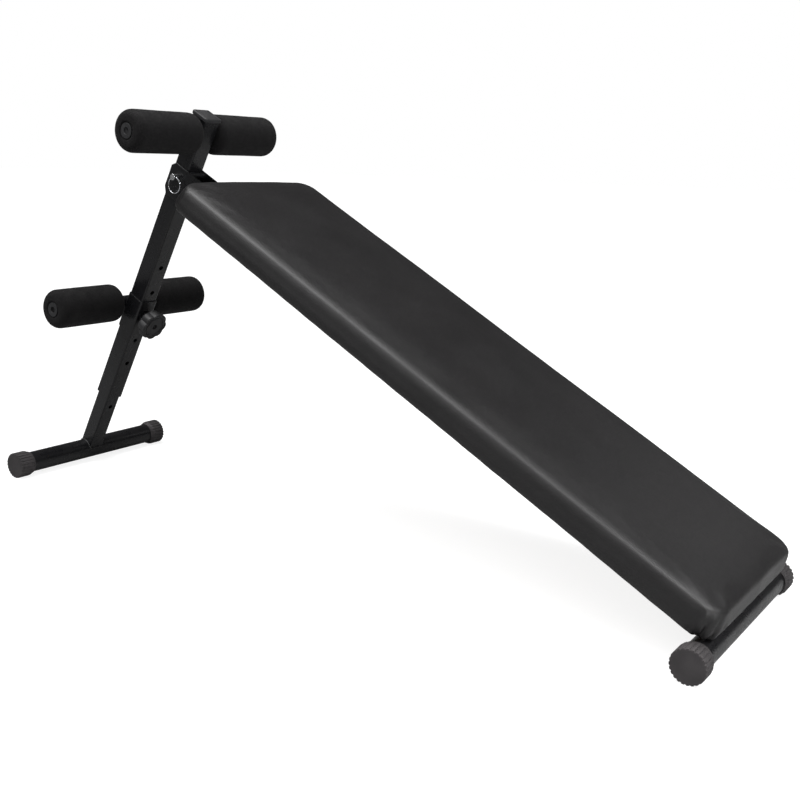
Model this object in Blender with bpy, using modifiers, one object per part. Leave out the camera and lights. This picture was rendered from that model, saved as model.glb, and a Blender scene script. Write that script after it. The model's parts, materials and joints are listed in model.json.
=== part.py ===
"""Decline sit up bench: a padded board on a rail, a folding telescoping leg and four foam rollers.

Metres, +Z up, standing on z = 0 with +X towards the low end. Pieces are placed in the bench frame,
whose origin is the rear foot's axis, whose X runs down the slope of the pad and whose Z runs up the post.
"""

import math

import bmesh
import bpy
from mathutils import Vector

# Clearances
FIT = 0.0003                      # gap between pieces that touch
SLIDE_FIT = 0.0004                # gap round a piece that slides

# Stance
SLOPE = math.radians(28.0)        # fall of the pad and rail; the post leans by as much
FOOT_SPACING = 1.315              # rear foot axis to front foot axis, along the floor
REAR_FOOT_WIDTH = 0.352           # over the end caps
FRONT_FOOT_WIDTH = 0.370          # over the end caps

# Foot tubes and their end caps
FOOT_TUBE_R = 0.01905
FOOT_TUBE_WALL = 0.0015
CAP_R = FOOT_TUBE_R + 0.00495     # axis to the flat tip of a rib, so the axis is this far off the floor
CAP_LENGTH = 0.032
CAP_TAPER_LENGTH = 0.007
CAP_END_WALL = 0.004
CAP_END_EDGE = 0.0012             # bevel round the closed end
CAP_LIP_WALL = 0.0012             # wall at the narrow end
CAP_RIBS = 24
CAP_RIB_DEPTH = 0.0012
CAP_RIB_STEPS = 4                 # facets a rib: two on its tip, two in its groove

# Rail, square tube on the line through the front foot's axis
RAIL_SIZE = 0.035
RAIL_WALL = 0.0015
RAIL_CORNER = 0.003
RAIL_START = 0.110                # post axis to the rail's high end
RAIL_SHORT = FOOT_TUBE_R / 4      # uncut rail's end to the front foot's axis

# Post, square tube at right angles to the rail, and as wide because the plates lie along both
POST_SIZE = RAIL_SIZE
POST_WALL = 0.0015
POST_CORNER = 0.003
POST_BOTTOM = 0.138               # rear foot axis to the post's lower end
POST_ABOVE_RAIL = 0.1111          # rail axis to the post's upper end
TOP_CAP_LIP = 0.0012              # how far the top cap stands out past the post
TOP_CAP_HEIGHT = 0.0075
PLUG_HEAD_HEIGHT = 0.003
PLUG_DEPTH = 0.015                # how far a plug reaches into its tube
KNOB_HEIGHT = 0.3293              # rear foot axis to the knob's hole
HOLE_PITCH = 0.0538
HOLE_R = 0.0045
POST_HOLES = range(-2, 3)         # counted from the knob's hole
LEG_HOLES = range(-4, 2)

# Leg, square tube that slides in the post
LEG_SIZE = POST_SIZE - 2 * POST_WALL - 0.002
LEG_WALL = 0.0015
LEG_CORNER = 0.0025
LEG_OVERLAP = 0.282               # length of leg inside the post
GLIDE_HEIGHT = 0.004

# Hinge between the rail and the post
PIN_BELOW_RAIL = 0.0024           # rail axis down to the pin's axis
PIN_R = 0.004
PIN_TAIL = 0.0035                 # pin past the far plate
PIN_HEAD_R = 0.0055
PIN_HEAD_LENGTH = 0.0105
PIN_CHAMFER = 0.001
PLATE_THICKNESS = 0.003
PLATE_BACK = 0.020                # post axis to the plates' back edge
PLATE_FRONT = 0.170
PLATE_BELOW_RAIL = 0.042
PLATE_ABOVE_RAIL = RAIL_SIZE / 2 + 0.0011     # just under the pad
PLATE_CHAMFER = 0.008
PLATE_FOOT_CHAMFER = 0.012        # taller cut at the lower corner behind the post
PLATE_TAIL_HEIGHT = 0.036         # height of the plates where they leave the rail's side
STOP_R = 0.005
STOP_ABOVE_PIN = 0.016

# Ring on the pin
RING_R = 0.014                    # middle of the wire
RING_WIRE_R = 0.001
RING_HOLE_R = 0.0023
RING_HOLE_INSET = 0.0061          # near plate's face to the ring hole's axis

# Pad
PAD_START = 0.128                 # post axis to the pad's high end
PAD_OVERHANG = 0.002              # pad past the front foot's axis
PAD_WIDTH = 0.320
PAD_CORNER = 0.040
PAD_EDGE_ROUND = 0.014
COVER_THICKNESS = 0.0012
COVER_RETURN = 0.025              # cover folded under the board
FOAM_THICKNESS = 0.0305
BOARD_THICKNESS = 0.012
BOARD_INSET = 0.007               # board back from the cover's inside

# Pad brackets and screws
BRACKET_COUNT = 3
BRACKET_LENGTH = 0.200
BRACKET_WIDTH = 0.040
BRACKET_THICKNESS = max(0.003, FOOT_TUBE_R - RAIL_SIZE / 2 + 0.00145)     # pad clear of the foot tube
BRACKET_CORNER = 0.006
SCREW_SPREAD = 0.160              # between the two screws of a bracket
SCREW_R = 0.0028
SCREW_HEAD_R = 0.006
SCREW_CROWN_R = 0.0042            # flat of the head
SCREW_HEAD_HEIGHT = 0.0035
SCREW_BITE = 0.009                # screw inside the board
SCREW_HOLE_R = 0.0031

# Rollers
ROLLER_TUBE_R = 0.011
ROLLER_TUBE_WALL = 0.0015
ROLLER_R = 0.035
ROLLER_END_ROUND = 0.012
ROLLER_PLUG_R = ROLLER_TUBE_R + 0.0015
ROLLER_PLUG_HEIGHT = 0.002
ROLLER_PLUG_HOLE_R = 0.005
ROLLER_PLUG_RECESS = 0.006
UPPER_ROLLER_ABOVE_RAIL = 0.0806
UPPER_ROLLER_WIDTH = 0.330        # over both foams
LOWER_ROLLER_WIDTH = 0.344
LOWER_ROLLER_GAP = 0.032          # middle of the bench to the inner end of a lower foam
LOWER_ROLLER_ABOVE_KNOB = 0.0047
UPPER_ROLLER_GAP = POST_SIZE / 2 + 0.0012     # middle of the bench to an upper foam

# Carriage of the lower rollers
CARRIAGE_HEIGHT = 0.072
CARRIAGE_WALL = 0.0015
CARRIAGE_BELOW_KNOB = 0.0373      # knob axis to the carriage's lower edge
NUT_SIDES = 6
NUT_ACROSS_FLATS = 0.017
NUT_THICKNESS = 0.008
STUD_R = 0.0049
STUD_HOLE_R = 0.0053
STUD_END = 0.008                  # stud's end below the knob's face
KNOB_R = 0.0275
KNOB_LOBES = 8
KNOB_LOBE_DEPTH = 0.0022
KNOB_THICKNESS = 0.0247
KNOB_EDGE = 0.003
KNOB_GAP = 0.0006                 # knob to nut

# Facets
ROUND_STEPS = 40
SMALL_STEPS = 20
CORNER_STEPS = 3
EDGE_STEPS = 4
LOBE_STEPS = 8
RING_STEPS = 36
WIRE_STEPS = 8
MERGE = 1e-5                      # points this near each other are one
SHARP_ANGLE = math.radians(35.0)
CUT_OVERRUN = 0.01                # how far a cutter passes through what it cuts

# Places in the bench frame that several pieces share
RAIL_LINE = FOOT_SPACING * math.sin(SLOPE)
FRONT_FOOT = FOOT_SPACING * math.cos(SLOPE)
PIN_LINE = RAIL_LINE - PIN_BELOW_RAIL
POST_TOP = RAIL_LINE + POST_ABOVE_RAIL
UPPER_ROLLER_LINE = RAIL_LINE + UPPER_ROLLER_ABOVE_RAIL
LEG_TOP = POST_BOTTOM + LEG_OVERLAP
BRACKET_UNDERSIDE = RAIL_LINE + RAIL_SIZE / 2 + FIT
BOARD_UNDERSIDE = BRACKET_UNDERSIDE + BRACKET_THICKNESS + FIT
PAD_UNDERSIDE = BOARD_UNDERSIDE - FIT - COVER_THICKNESS
PAD_TOP = BOARD_UNDERSIDE + BOARD_THICKNESS + FIT + FOAM_THICKNESS + FIT + COVER_THICKNESS
PAD_END = FRONT_FOOT + PAD_OVERHANG
PLATE_INSIDE = POST_SIZE / 2 + FIT
PLATE_OUTSIDE = PLATE_INSIDE + PLATE_THICKNESS
CARRIAGE_OUTSIDE = POST_SIZE / 2 + SLIDE_FIT + CARRIAGE_WALL
LOWER_ROLLER_BACK = CARRIAGE_OUTSIDE + FIT + ROLLER_TUBE_R
LOWER_ROLLER_LINE = KNOB_HEIGHT + LOWER_ROLLER_ABOVE_KNOB
NUT_FRONT = CARRIAGE_OUTSIDE + FIT + NUT_THICKNESS
KNOB_BACK = NUT_FRONT + KNOB_GAP
SIDES = (("left", -1), ("right", 1))

# Finishes: colour, roughness, metallic
PAINT = ((0.012, 0.012, 0.013), 0.32, 0.0)
VINYL = ((0.016, 0.015, 0.016), 0.42, 0.0)
ROLLER_FOAM = ((0.010, 0.010, 0.010), 0.95, 0.0)
PAD_FOAM = ((0.55, 0.52, 0.42), 0.95, 0.0)
PLYWOOD = ((0.45, 0.30, 0.16), 0.70, 0.0)
PLASTIC = ((0.022, 0.021, 0.022), 0.55, 0.0)
CAP_RUBBER = ((0.045, 0.042, 0.042), 0.75, 0.0)
ZINC = ((0.62, 0.63, 0.66), 0.28, 1.0)

ALONG_Y = (-math.pi / 2, 0, 0)            # turns a piece made along Z to lie along +Y
ALONG_MINUS_Y = (math.pi / 2, 0, 0)
ALONG_X = (0, math.pi / 2, 0)


# ---- scene -------------------------------------------------------------------

def clear_scene():
    for obj in list(bpy.data.objects):
        bpy.data.objects.remove(obj, do_unlink=True)


def new_collection(name):
    collection = bpy.data.collections.new(name)
    bpy.context.scene.collection.children.link(collection)
    return collection


def new_material(name, finish):
    colour, roughness, metallic = finish
    material = bpy.data.materials.new(name)
    material.use_nodes = True
    shader = material.node_tree.nodes["Principled BSDF"]
    shader.inputs["Base Color"].default_value = (*colour, 1.0)
    shader.inputs["Roughness"].default_value = roughness
    shader.inputs["Metallic"].default_value = metallic
    return material


def new_axis(name, parent, place):
    """An empty on a joint's axis; place is in the bench frame."""
    axis = bpy.data.objects.new(name, None)
    bpy.context.scene.collection.objects.link(axis)
    axis.parent = parent
    axis.location = Vector(place) - bench_place(parent)
    return axis


def bench_place(axis):
    """Where an axis lies in the bench frame, whose own empty has no parent."""
    place = Vector()
    while axis.parent:
        place += axis.location
        axis = axis.parent
    return place


def add_piece(name, mesh, axis, place, finish, turn=(0, 0, 0)):
    """A visible piece, carried by an axis; place is in the bench frame."""
    piece = bpy.data.objects.new(name, mesh)
    mesh.name = name
    mesh.materials.append(new_material(name + "_finish", finish))
    parts.objects.link(piece)
    piece.parent = axis
    piece.location = Vector(place) - bench_place(axis)
    piece.rotation_euler = turn
    return piece


def add_cutter(name, mesh, axis, place, turn=(0, 0, 0)):
    cutter = bpy.data.objects.new(name, mesh)
    cutters.objects.link(cutter)
    cutter.parent = axis
    cutter.location = Vector(place) - bench_place(axis)
    cutter.rotation_euler = turn
    cutter.hide_render = True
    cutter.display_type = "WIRE"
    return cutter


def cut(piece, cutter):
    boolean = piece.modifiers.new("cut_" + cutter.name, "BOOLEAN")
    boolean.operation = "DIFFERENCE"
    boolean.solver = "EXACT"
    boolean.object = cutter


# ---- shapes ------------------------------------------------------------------

def finished(bm, name):
    """Turns a bmesh into a mesh with round faces smooth and edges sharp."""
    mesh = bpy.data.meshes.new(name)
    bmesh.ops.recalc_face_normals(bm, faces=bm.faces)
    bm.to_mesh(mesh)
    bm.free()
    mesh.shade_smooth()
    mesh.set_sharp_from_angle(angle=SHARP_ANGLE)
    return mesh


def cylinder(radius, length, steps=ROUND_STEPS):
    """A cylinder along Z, centred."""
    bm = bmesh.new()
    bmesh.ops.create_cone(bm, cap_ends=True, segments=steps, radius1=radius, radius2=radius, depth=length)
    return finished(bm, "cylinder")


def rounded_rectangle(length, width, radius):
    """Outline points, centred, with a quarter circle at each corner."""
    points = []
    for quarter, (sx, sy) in enumerate(((1, 1), (-1, 1), (-1, -1), (1, -1))):
        centre_x = sx * (length / 2 - radius)
        centre_y = sy * (width / 2 - radius)
        for step in range(CORNER_STEPS + 1):
            angle = (quarter + step / CORNER_STEPS) * math.pi / 2
            points.append((centre_x + radius * math.cos(angle), centre_y + radius * math.sin(angle)))
    return points


def circle(radius, centre=(0, 0), steps=SMALL_STEPS):
    angles = [2 * math.pi * step / steps for step in range(steps)]
    return [(centre[0] + radius * math.cos(a), centre[1] + radius * math.sin(a)) for a in angles]


def sheet(outlines, thickness):
    """A flat shape in XY, centred on z = 0: the first outline is its edge and the others are holes."""
    curve = bpy.data.curves.new("outline", "CURVE")
    curve.dimensions = "2D"
    curve.fill_mode = "BOTH"
    curve.extrude = thickness / 2
    for outline in outlines:
        spline = curve.splines.new("POLY")
        spline.points.add(len(outline) - 1)
        for point, (x, y) in zip(spline.points, outline):
            point.co = (x, y, 0, 1)
        spline.use_cyclic_u = True
    guide = bpy.data.objects.new("outline", curve)
    bpy.context.scene.collection.objects.link(guide)
    graph = bpy.context.evaluated_depsgraph_get()
    mesh = bpy.data.meshes.new_from_object(guide.evaluated_get(graph))
    bpy.data.objects.remove(guide)
    bpy.data.curves.remove(curve)
    bm = bmesh.new()
    bm.from_mesh(mesh)
    bpy.data.meshes.remove(mesh)
    bmesh.ops.remove_doubles(bm, verts=bm.verts, dist=MERGE)
    return finished(bm, "sheet")


def outline_edges(bm, outline, level):
    verts = [bm.verts.new((x, y, level)) for x, y in outline]
    return [bm.edges.new((vert, verts[i - 1])) for i, vert in enumerate(verts)]


def square_tube(size, wall, corner, length):
    """A square tube along Z, centred."""
    inside = size - 2 * wall
    bm = bmesh.new()
    edges = outline_edges(bm, rounded_rectangle(size, size, corner), -length / 2)
    edges += outline_edges(bm, rounded_rectangle(inside, inside, max(corner - wall, wall / 2)), -length / 2)
    rim = bmesh.ops.bridge_loops(bm, edges=edges)["faces"]
    far = bmesh.ops.extrude_face_region(bm, geom=rim)
    far_verts = [part for part in far["geom"] if isinstance(part, bmesh.types.BMVert)]
    bmesh.ops.translate(bm, vec=(0, 0, length), verts=far_verts)
    return finished(bm, "square_tube")


def square_plug(head_size, head_height, stem_size, stem_length, corner):
    """A plug with its head up from z = 0 and its stem below, as one body."""
    bm = bmesh.new()
    bmesh.ops.create_cube(bm, size=1.0)
    bmesh.ops.scale(bm, vec=(head_size, head_size, head_height), verts=bm.verts)
    bmesh.ops.translate(bm, vec=(0, 0, head_height / 2), verts=bm.verts)
    under = min(bm.faces, key=lambda face: face.calc_center_median().z)
    lip = (head_size - stem_size) / 2
    bmesh.ops.inset_region(bm, faces=[under], thickness=lip, use_even_offset=True, use_boundary=True)
    stem = bmesh.ops.extrude_face_region(bm, geom=[under])
    stem_verts = [part for part in stem["geom"] if isinstance(part, bmesh.types.BMVert)]
    bmesh.ops.delete(bm, geom=[under], context="FACES_ONLY")
    bmesh.ops.translate(bm, vec=(0, 0, -stem_length), verts=stem_verts)
    upper = [edge for edge in bm.edges if max(v.co.z for v in edge.verts) > head_height / 2]
    bmesh.ops.bevel(bm, geom=upper, offset=corner, segments=CORNER_STEPS, profile=0.5, affect="EDGES")
    rising = [edge for edge in bm.edges if abs(edge.verts[0].co.z - edge.verts[1].co.z) > stem_length / 2]
    bmesh.ops.bevel(bm, geom=rising, offset=corner, segments=CORNER_STEPS, profile=0.5, affect="EDGES")
    return finished(bm, "square_plug")


def fluted(radius_at, steps, stations):
    """A solid along Z whose outline follows radius_at(angle), with a (z, scale) pair for each level."""
    bm = bmesh.new()
    bmesh.ops.create_circle(bm, cap_ends=True, radius=1.0, segments=steps)
    for vert in bm.verts:
        vert.co *= radius_at(math.atan2(vert.co.y, vert.co.x))
    level, scale = stations[0]
    bmesh.ops.scale(bm, vec=(scale, scale, 1), verts=bm.verts)
    bmesh.ops.translate(bm, vec=(0, 0, level), verts=bm.verts)
    top = bm.faces[:]
    inner = []
    for next_level, next_scale in stations[1:]:
        grown = bmesh.ops.extrude_face_region(bm, geom=top)
        verts = [part for part in grown["geom"] if isinstance(part, bmesh.types.BMVert)]
        top = [part for part in grown["geom"] if isinstance(part, bmesh.types.BMFace)]
        inner += top
        bmesh.ops.translate(bm, vec=(0, 0, next_level - level), verts=verts)
        change = next_scale / scale
        bmesh.ops.scale(bm, vec=(change, change, 1), verts=verts)
        level, scale = next_level, next_scale
    bmesh.ops.delete(bm, geom=inner[:-1], context="FACES_ONLY")
    return finished(bm, "fluted")


def turned(name, profile, axis, place, finish, turn=(0, 0, 0), steps=ROUND_STEPS, closed=False):
    """A piece turned about Z from (radius, z) points that run down its outer side."""
    mesh = bpy.data.meshes.new(name)
    edges = [(i, i + 1) for i in range(len(profile) - 1)]
    if closed:
        edges.append((len(profile) - 1, 0))
    mesh.from_pydata([(radius, 0, z) for radius, z in profile], edges, [])
    piece = add_piece(name, mesh, axis, place, finish, turn)
    screw = piece.modifiers.new("turn", "SCREW")
    screw.steps = steps
    screw.render_steps = steps
    screw.use_merge_vertices = True
    screw.merge_threshold = MERGE
    screw.use_smooth_shade = True
    return piece


def round_tube(name, radius, wall, length, axis, place, finish):
    """A round tube along Y, centred on its place."""
    bore = radius - wall
    profile = [(radius, length / 2), (radius, -length / 2), (bore, -length / 2), (bore, length / 2)]
    return turned(name, profile, axis, place, finish, ALONG_Y, closed=True)


# ---- feet --------------------------------------------------------------------

def rib_radius(angle):
    """Outline of a foot cap: ribs with flat tips, one of them centred on the Y axis, towards the floor."""
    step = 2 * math.pi / (CAP_RIB_STEPS * CAP_RIBS)
    tip = CAP_R / math.cos(step / 2)
    part = round((angle - math.pi / 2) / step) % CAP_RIB_STEPS
    on_tip = part in (0, CAP_RIB_STEPS - 1)
    return tip if on_tip else tip - CAP_RIB_DEPTH


def foot_cap(name, axis, side, foot_width, foot_place):
    """A ribbed cap over the end of a foot tube, closed at its outer end, with a rib's flat on the floor."""
    narrow = (FOOT_TUBE_R + FIT + CAP_LIP_WALL + CAP_RIB_DEPTH) / CAP_R
    stations = [
        (0, narrow),
        (CAP_TAPER_LENGTH, 1.0),
        (CAP_LENGTH - CAP_END_EDGE, 1.0),
        (CAP_LENGTH, 1 - CAP_END_EDGE / CAP_R),
    ]
    inner_end = foot_width / 2 - CAP_LENGTH
    half_facet = math.pi / (CAP_RIB_STEPS * CAP_RIBS)
    turn = (-side * math.pi / 2, side * half_facet - SLOPE, 0)
    place = Vector(foot_place) + Vector((0, side * inner_end, 0))
    mesh = fluted(rib_radius, CAP_RIB_STEPS * CAP_RIBS, stations)
    cap = add_piece(name, mesh, axis, place, CAP_RUBBER, turn)
    bore_length = CAP_LENGTH - CAP_END_WALL + CUT_OVERRUN
    bore_middle = inner_end + CAP_LENGTH - CAP_END_WALL - bore_length / 2
    bore = add_cutter(
        name + "_bore",
        cylinder(FOOT_TUBE_R + FIT, bore_length),
        axis,
        Vector(foot_place) + Vector((0, side * bore_middle, 0)),
        ALONG_Y,
    )
    cut(cap, bore)


def foot(name, axis, width, place):
    """A round foot tube with a cap on each end."""
    tube_length = width - 2 * (CAP_END_WALL + FIT)
    round_tube(name + "_tube", FOOT_TUBE_R, FOOT_TUBE_WALL, tube_length, axis, place, PAINT)
    for side_name, side in SIDES:
        foot_cap(f"{name}_cap_{side_name}", axis, side, width, place)


# ---- rail and pad ------------------------------------------------------------

def main_rail(axis):
    """The rail from its high end to the front foot tube, whose round it is cut to."""
    uncut_end = FRONT_FOOT - RAIL_SHORT
    middle = (RAIL_START + uncut_end) / 2
    mesh = square_tube(RAIL_SIZE, RAIL_WALL, RAIL_CORNER, uncut_end - RAIL_START)
    rail = add_piece("main_rail", mesh, axis, (middle, 0, RAIL_LINE), PAINT, ALONG_X)
    cope = add_cutter(
        "rail_cope",
        cylinder(FOOT_TUBE_R + FIT, RAIL_SIZE + CUT_OVERRUN),
        axis,
        (FRONT_FOOT, 0, RAIL_LINE),
        ALONG_Y,
    )
    cut(rail, cope)


def rail_end_plug(axis):
    stem = RAIL_SIZE - 2 * RAIL_WALL - 2 * FIT
    mesh = square_plug(RAIL_SIZE, PLUG_HEAD_HEIGHT, stem, PLUG_DEPTH, RAIL_CORNER / 2)
    add_piece("rail_end_plug", mesh, axis, (RAIL_START - FIT, 0, RAIL_LINE), PLASTIC, (0, -math.pi / 2, 0))


def plate_outline():
    """A hinge plate seen from its side: chamfered behind the post and lower at its tail."""
    back = -PLATE_BACK
    bottom = RAIL_LINE - PLATE_BELOW_RAIL
    top = RAIL_LINE + PLATE_ABOVE_RAIL
    tail_bottom = top - PLATE_TAIL_HEIGHT
    shoulder = RAIL_START - PLATE_CHAMFER
    return [
        (back, bottom + PLATE_FOOT_CHAMFER),
        (back + PLATE_CHAMFER, bottom),
        (shoulder - PLATE_CHAMFER, bottom),
        (PLATE_FRONT - PLATE_CHAMFER, tail_bottom),
        (PLATE_FRONT, tail_bottom + PLATE_CHAMFER),
        (PLATE_FRONT, top),
        (back + PLATE_CHAMFER, top),
        (back, top - PLATE_CHAMFER),
    ]


def hinge_plate(axis, side_name, side):
    """Drawn in XY and stood up, so the outline's Y is the bench frame's Z."""
    hole = circle(PIN_R + FIT, (0, PIN_LINE))
    mesh = sheet([plate_outline(), hole], PLATE_THICKNESS)
    middle = side * (PLATE_INSIDE + PLATE_THICKNESS / 2)
    add_piece(f"hinge_plate_{side_name}", mesh, axis, (0, middle, 0), PAINT, ALONG_MINUS_Y)


def leg_stop(axis):
    """A rod between the plates that the post's front face rests against."""
    place = (POST_SIZE / 2 + FIT + STOP_R, 0, PIN_LINE + STOP_ABOVE_PIN)
    mesh = cylinder(STOP_R, 2 * PLATE_INSIDE - 2 * FIT, SMALL_STEPS)
    add_piece("leg_stop_rod", mesh, axis, place, PAINT, ALONG_Y)


def pad_block(inset, bottom, top, edge_round):
    """A block in the pad's outline, inset all round, with its upper edge rounded."""
    bm = bmesh.new()
    outline = rounded_rectangle(PAD_END - PAD_START - 2 * inset, PAD_WIDTH - 2 * inset, PAD_CORNER - inset)
    face = bm.faces.new([bm.verts.new((x, y, 0)) for x, y in outline])
    raised = bmesh.ops.extrude_face_region(bm, geom=[face], use_keep_orig=True)
    upper = [part for part in raised["geom"] if isinstance(part, bmesh.types.BMVert)]
    bmesh.ops.translate(bm, vec=(0, 0, top - bottom), verts=upper)
    if edge_round:
        rim = [part for part in raised["geom"] if isinstance(part, bmesh.types.BMEdge)]
        bmesh.ops.bevel(bm, geom=rim, offset=edge_round, segments=EDGE_STEPS, profile=0.5, affect="EDGES")
    return finished(bm, "pad_block")


def pad_middle():
    return (PAD_START + PAD_END) / 2


def pad_cover(axis):
    """The vinyl shell over foam and board, folded under the board all round."""
    inside_bottom = PAD_UNDERSIDE + COVER_THICKNESS
    inside_top = PAD_TOP - COVER_THICKNESS
    cover = add_piece(
        "pad_cover",
        pad_block(0, PAD_UNDERSIDE, PAD_TOP, PAD_EDGE_ROUND),
        axis,
        (pad_middle(), 0, PAD_UNDERSIDE),
        VINYL,
    )
    inside = add_cutter(
        "cover_inside",
        pad_block(COVER_THICKNESS, inside_bottom, inside_top, PAD_EDGE_ROUND - COVER_THICKNESS),
        axis,
        (pad_middle(), 0, inside_bottom),
    )
    mouth = add_cutter(
        "cover_mouth",
        pad_block(COVER_RETURN, 0, BOARD_THICKNESS, 0),
        axis,
        (pad_middle(), 0, PAD_UNDERSIDE - BOARD_THICKNESS / 2),
    )
    cut(cover, inside)
    cut(cover, mouth)


def pad_foam(axis):
    bottom = BOARD_UNDERSIDE + BOARD_THICKNESS + FIT
    top = bottom + FOAM_THICKNESS
    inset = COVER_THICKNESS + FIT
    mesh = pad_block(inset, bottom, top, PAD_EDGE_ROUND - inset)
    add_piece("pad_foam", mesh, axis, (pad_middle(), 0, bottom), PAD_FOAM)


def bracket_places():
    """Middle of each pad bracket along the rail."""
    span = (FRONT_FOOT - RAIL_START) / BRACKET_COUNT
    return [RAIL_START + span * (number + 0.5) for number in range(BRACKET_COUNT)]


def pad_board(axis):
    """The plywood board, with a blind hole for each screw."""
    top = BOARD_UNDERSIDE + BOARD_THICKNESS
    mesh = pad_block(COVER_THICKNESS + BOARD_INSET, BOARD_UNDERSIDE, top, 0)
    board = add_piece("pad_board", mesh, axis, (pad_middle(), 0, BOARD_UNDERSIDE), PLYWOOD)
    for number, along in enumerate(bracket_places(), 1):
        for side_name, side in SIDES:
            hole = add_cutter(
                f"screw_hole_{number}_{side_name}",
                cylinder(SCREW_HOLE_R, 2 * (SCREW_BITE + FIT), SMALL_STEPS),
                axis,
                (along, side * SCREW_SPREAD / 2, BOARD_UNDERSIDE),
            )
            cut(board, hole)


def pad_bracket(axis, number, along):
    """A flat strap across the rail, with a hole for each of its two screws."""
    holes = [circle(SCREW_HOLE_R, (0, side * SCREW_SPREAD / 2)) for _, side in SIDES]
    edge = rounded_rectangle(BRACKET_WIDTH, BRACKET_LENGTH, BRACKET_CORNER)
    mesh = sheet([edge] + holes, BRACKET_THICKNESS)
    place = (along, 0, BRACKET_UNDERSIDE + BRACKET_THICKNESS / 2)
    add_piece(f"pad_bracket_{number}", mesh, axis, place, PAINT)


def pad_screw(axis, number, along, side_name, side):
    """A pan head screw, head down, through a bracket into the board."""
    shank = FIT + BRACKET_THICKNESS + FIT + SCREW_BITE
    profile = [
        (0, shank),
        (SCREW_R, shank),
        (SCREW_R, 0),
        (SCREW_HEAD_R, 0),
        (SCREW_HEAD_R, -SCREW_HEAD_HEIGHT / 2),
        (SCREW_CROWN_R, -SCREW_HEAD_HEIGHT),
        (0, -SCREW_HEAD_HEIGHT),
    ]
    place = (along, side * SCREW_SPREAD / 2, BRACKET_UNDERSIDE - FIT)
    turned(f"pad_screw_{number}_{side_name}", profile, axis, place, ZINC, steps=SMALL_STEPS)


# ---- post and rollers --------------------------------------------------------

def front_holes(piece, axis, size, numbers):
    """A row of holes through the front wall of a square tube."""
    for number in numbers:
        along = KNOB_HEIGHT + number * HOLE_PITCH
        name = f"{piece.name}_hole_{number - numbers[0] + 1}"
        hole = add_cutter(name, cylinder(HOLE_R, size / 2, SMALL_STEPS), axis, (size / 2, 0, along), ALONG_X)
        cut(piece, hole)


def post_outer_tube(axis):
    """The post, drilled across for the pin and the upper roller tube and down its front for the stud."""
    mesh = square_tube(POST_SIZE, POST_WALL, POST_CORNER, POST_TOP - POST_BOTTOM)
    place = (0, 0, (POST_TOP + POST_BOTTOM) / 2)
    post = add_piece("post_outer_tube", mesh, axis, place, PAINT)
    drilled = (("post_pin_hole", PIN_R, PIN_LINE), ("post_roller_hole", ROLLER_TUBE_R, UPPER_ROLLER_LINE))
    for name, radius, along in drilled:
        mesh = cylinder(radius + FIT, POST_SIZE + CUT_OVERRUN, ROUND_STEPS)
        cut(post, add_cutter(name, mesh, axis, (0, 0, along), ALONG_Y))
    front_holes(post, axis, POST_SIZE, POST_HOLES)


def post_top_cap(axis):
    head = POST_SIZE + 2 * TOP_CAP_LIP
    stem = POST_SIZE - 2 * POST_WALL - 2 * FIT
    mesh = square_plug(head, TOP_CAP_HEIGHT, stem, PLUG_DEPTH, POST_CORNER / 2)
    add_piece("post_top_cap", mesh, axis, (0, 0, POST_TOP + FIT), PLASTIC)


def roller_tube(name, axis, place, width):
    """The tube through a pair of roller foams; its plugs finish flush with the foams' ends."""
    length = width - 2 * (ROLLER_PLUG_HEIGHT + 2 * FIT)
    round_tube(name, ROLLER_TUBE_R, ROLLER_TUBE_WALL, length, axis, place, PAINT)


def roller_plug(name, axis, place, width, side):
    """A round plug in the end of a roller tube, with a blind hole in its face."""
    stem = ROLLER_TUBE_R - ROLLER_TUBE_WALL - FIT
    profile = [
        (0, ROLLER_PLUG_HEIGHT - ROLLER_PLUG_RECESS),
        (ROLLER_PLUG_HOLE_R, ROLLER_PLUG_HEIGHT - ROLLER_PLUG_RECESS),
        (ROLLER_PLUG_HOLE_R, ROLLER_PLUG_HEIGHT),
        (ROLLER_PLUG_R, ROLLER_PLUG_HEIGHT),
        (ROLLER_PLUG_R, 0),
        (stem, 0),
        (stem, -PLUG_DEPTH),
        (0, -PLUG_DEPTH),
    ]
    seat = width / 2 - FIT - ROLLER_PLUG_HEIGHT
    place = Vector(place) + Vector((0, side * seat, 0))
    turned(name, profile, axis, place, PLASTIC, (-side * math.pi / 2, 0, 0), SMALL_STEPS)


def roller_foam(name, axis, place, width, gap, side):
    """A foam sleeve with rounded ends, counterbored where the plug's head sits."""
    outer_end = width / 2
    counterbore = outer_end - 2 * FIT - ROLLER_PLUG_HEIGHT - FIT
    bore = ROLLER_TUBE_R + FIT
    mouth = ROLLER_PLUG_R + FIT
    flat = ROLLER_R - ROLLER_END_ROUND
    profile = []
    for end, start in ((outer_end, 90), (gap, 0)):
        inward = -1 if end == outer_end else 1
        for step in range(EDGE_STEPS + 1):
            angle = math.radians(start - 90 * step / EDGE_STEPS)
            across = flat + ROLLER_END_ROUND * math.cos(angle)
            profile.append((across, end + inward * ROLLER_END_ROUND * (1 - abs(math.sin(angle)))))
    profile += [(bore, gap), (bore, counterbore), (mouth, counterbore), (mouth, outer_end)]
    turned(name, profile, axis, place, ROLLER_FOAM, (-side * math.pi / 2, 0, 0), closed=True)


def roller_pair(name, axis, place, width, gap):
    """A roller tube with its plugs and its two foams, which turn on it."""
    roller_tube(f"{name}_tube", axis, place, width)
    for side_name, side in SIDES:
        roller_plug(f"{name}_plug_{side_name}", axis, place, width, side)
        spin = new_axis(f"{name}_spin_{side_name}", axis, place)
        roller_foam(f"{name}_foam_{side_name}", spin, place, width, gap, side)


# ---- leg ---------------------------------------------------------------------

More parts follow.
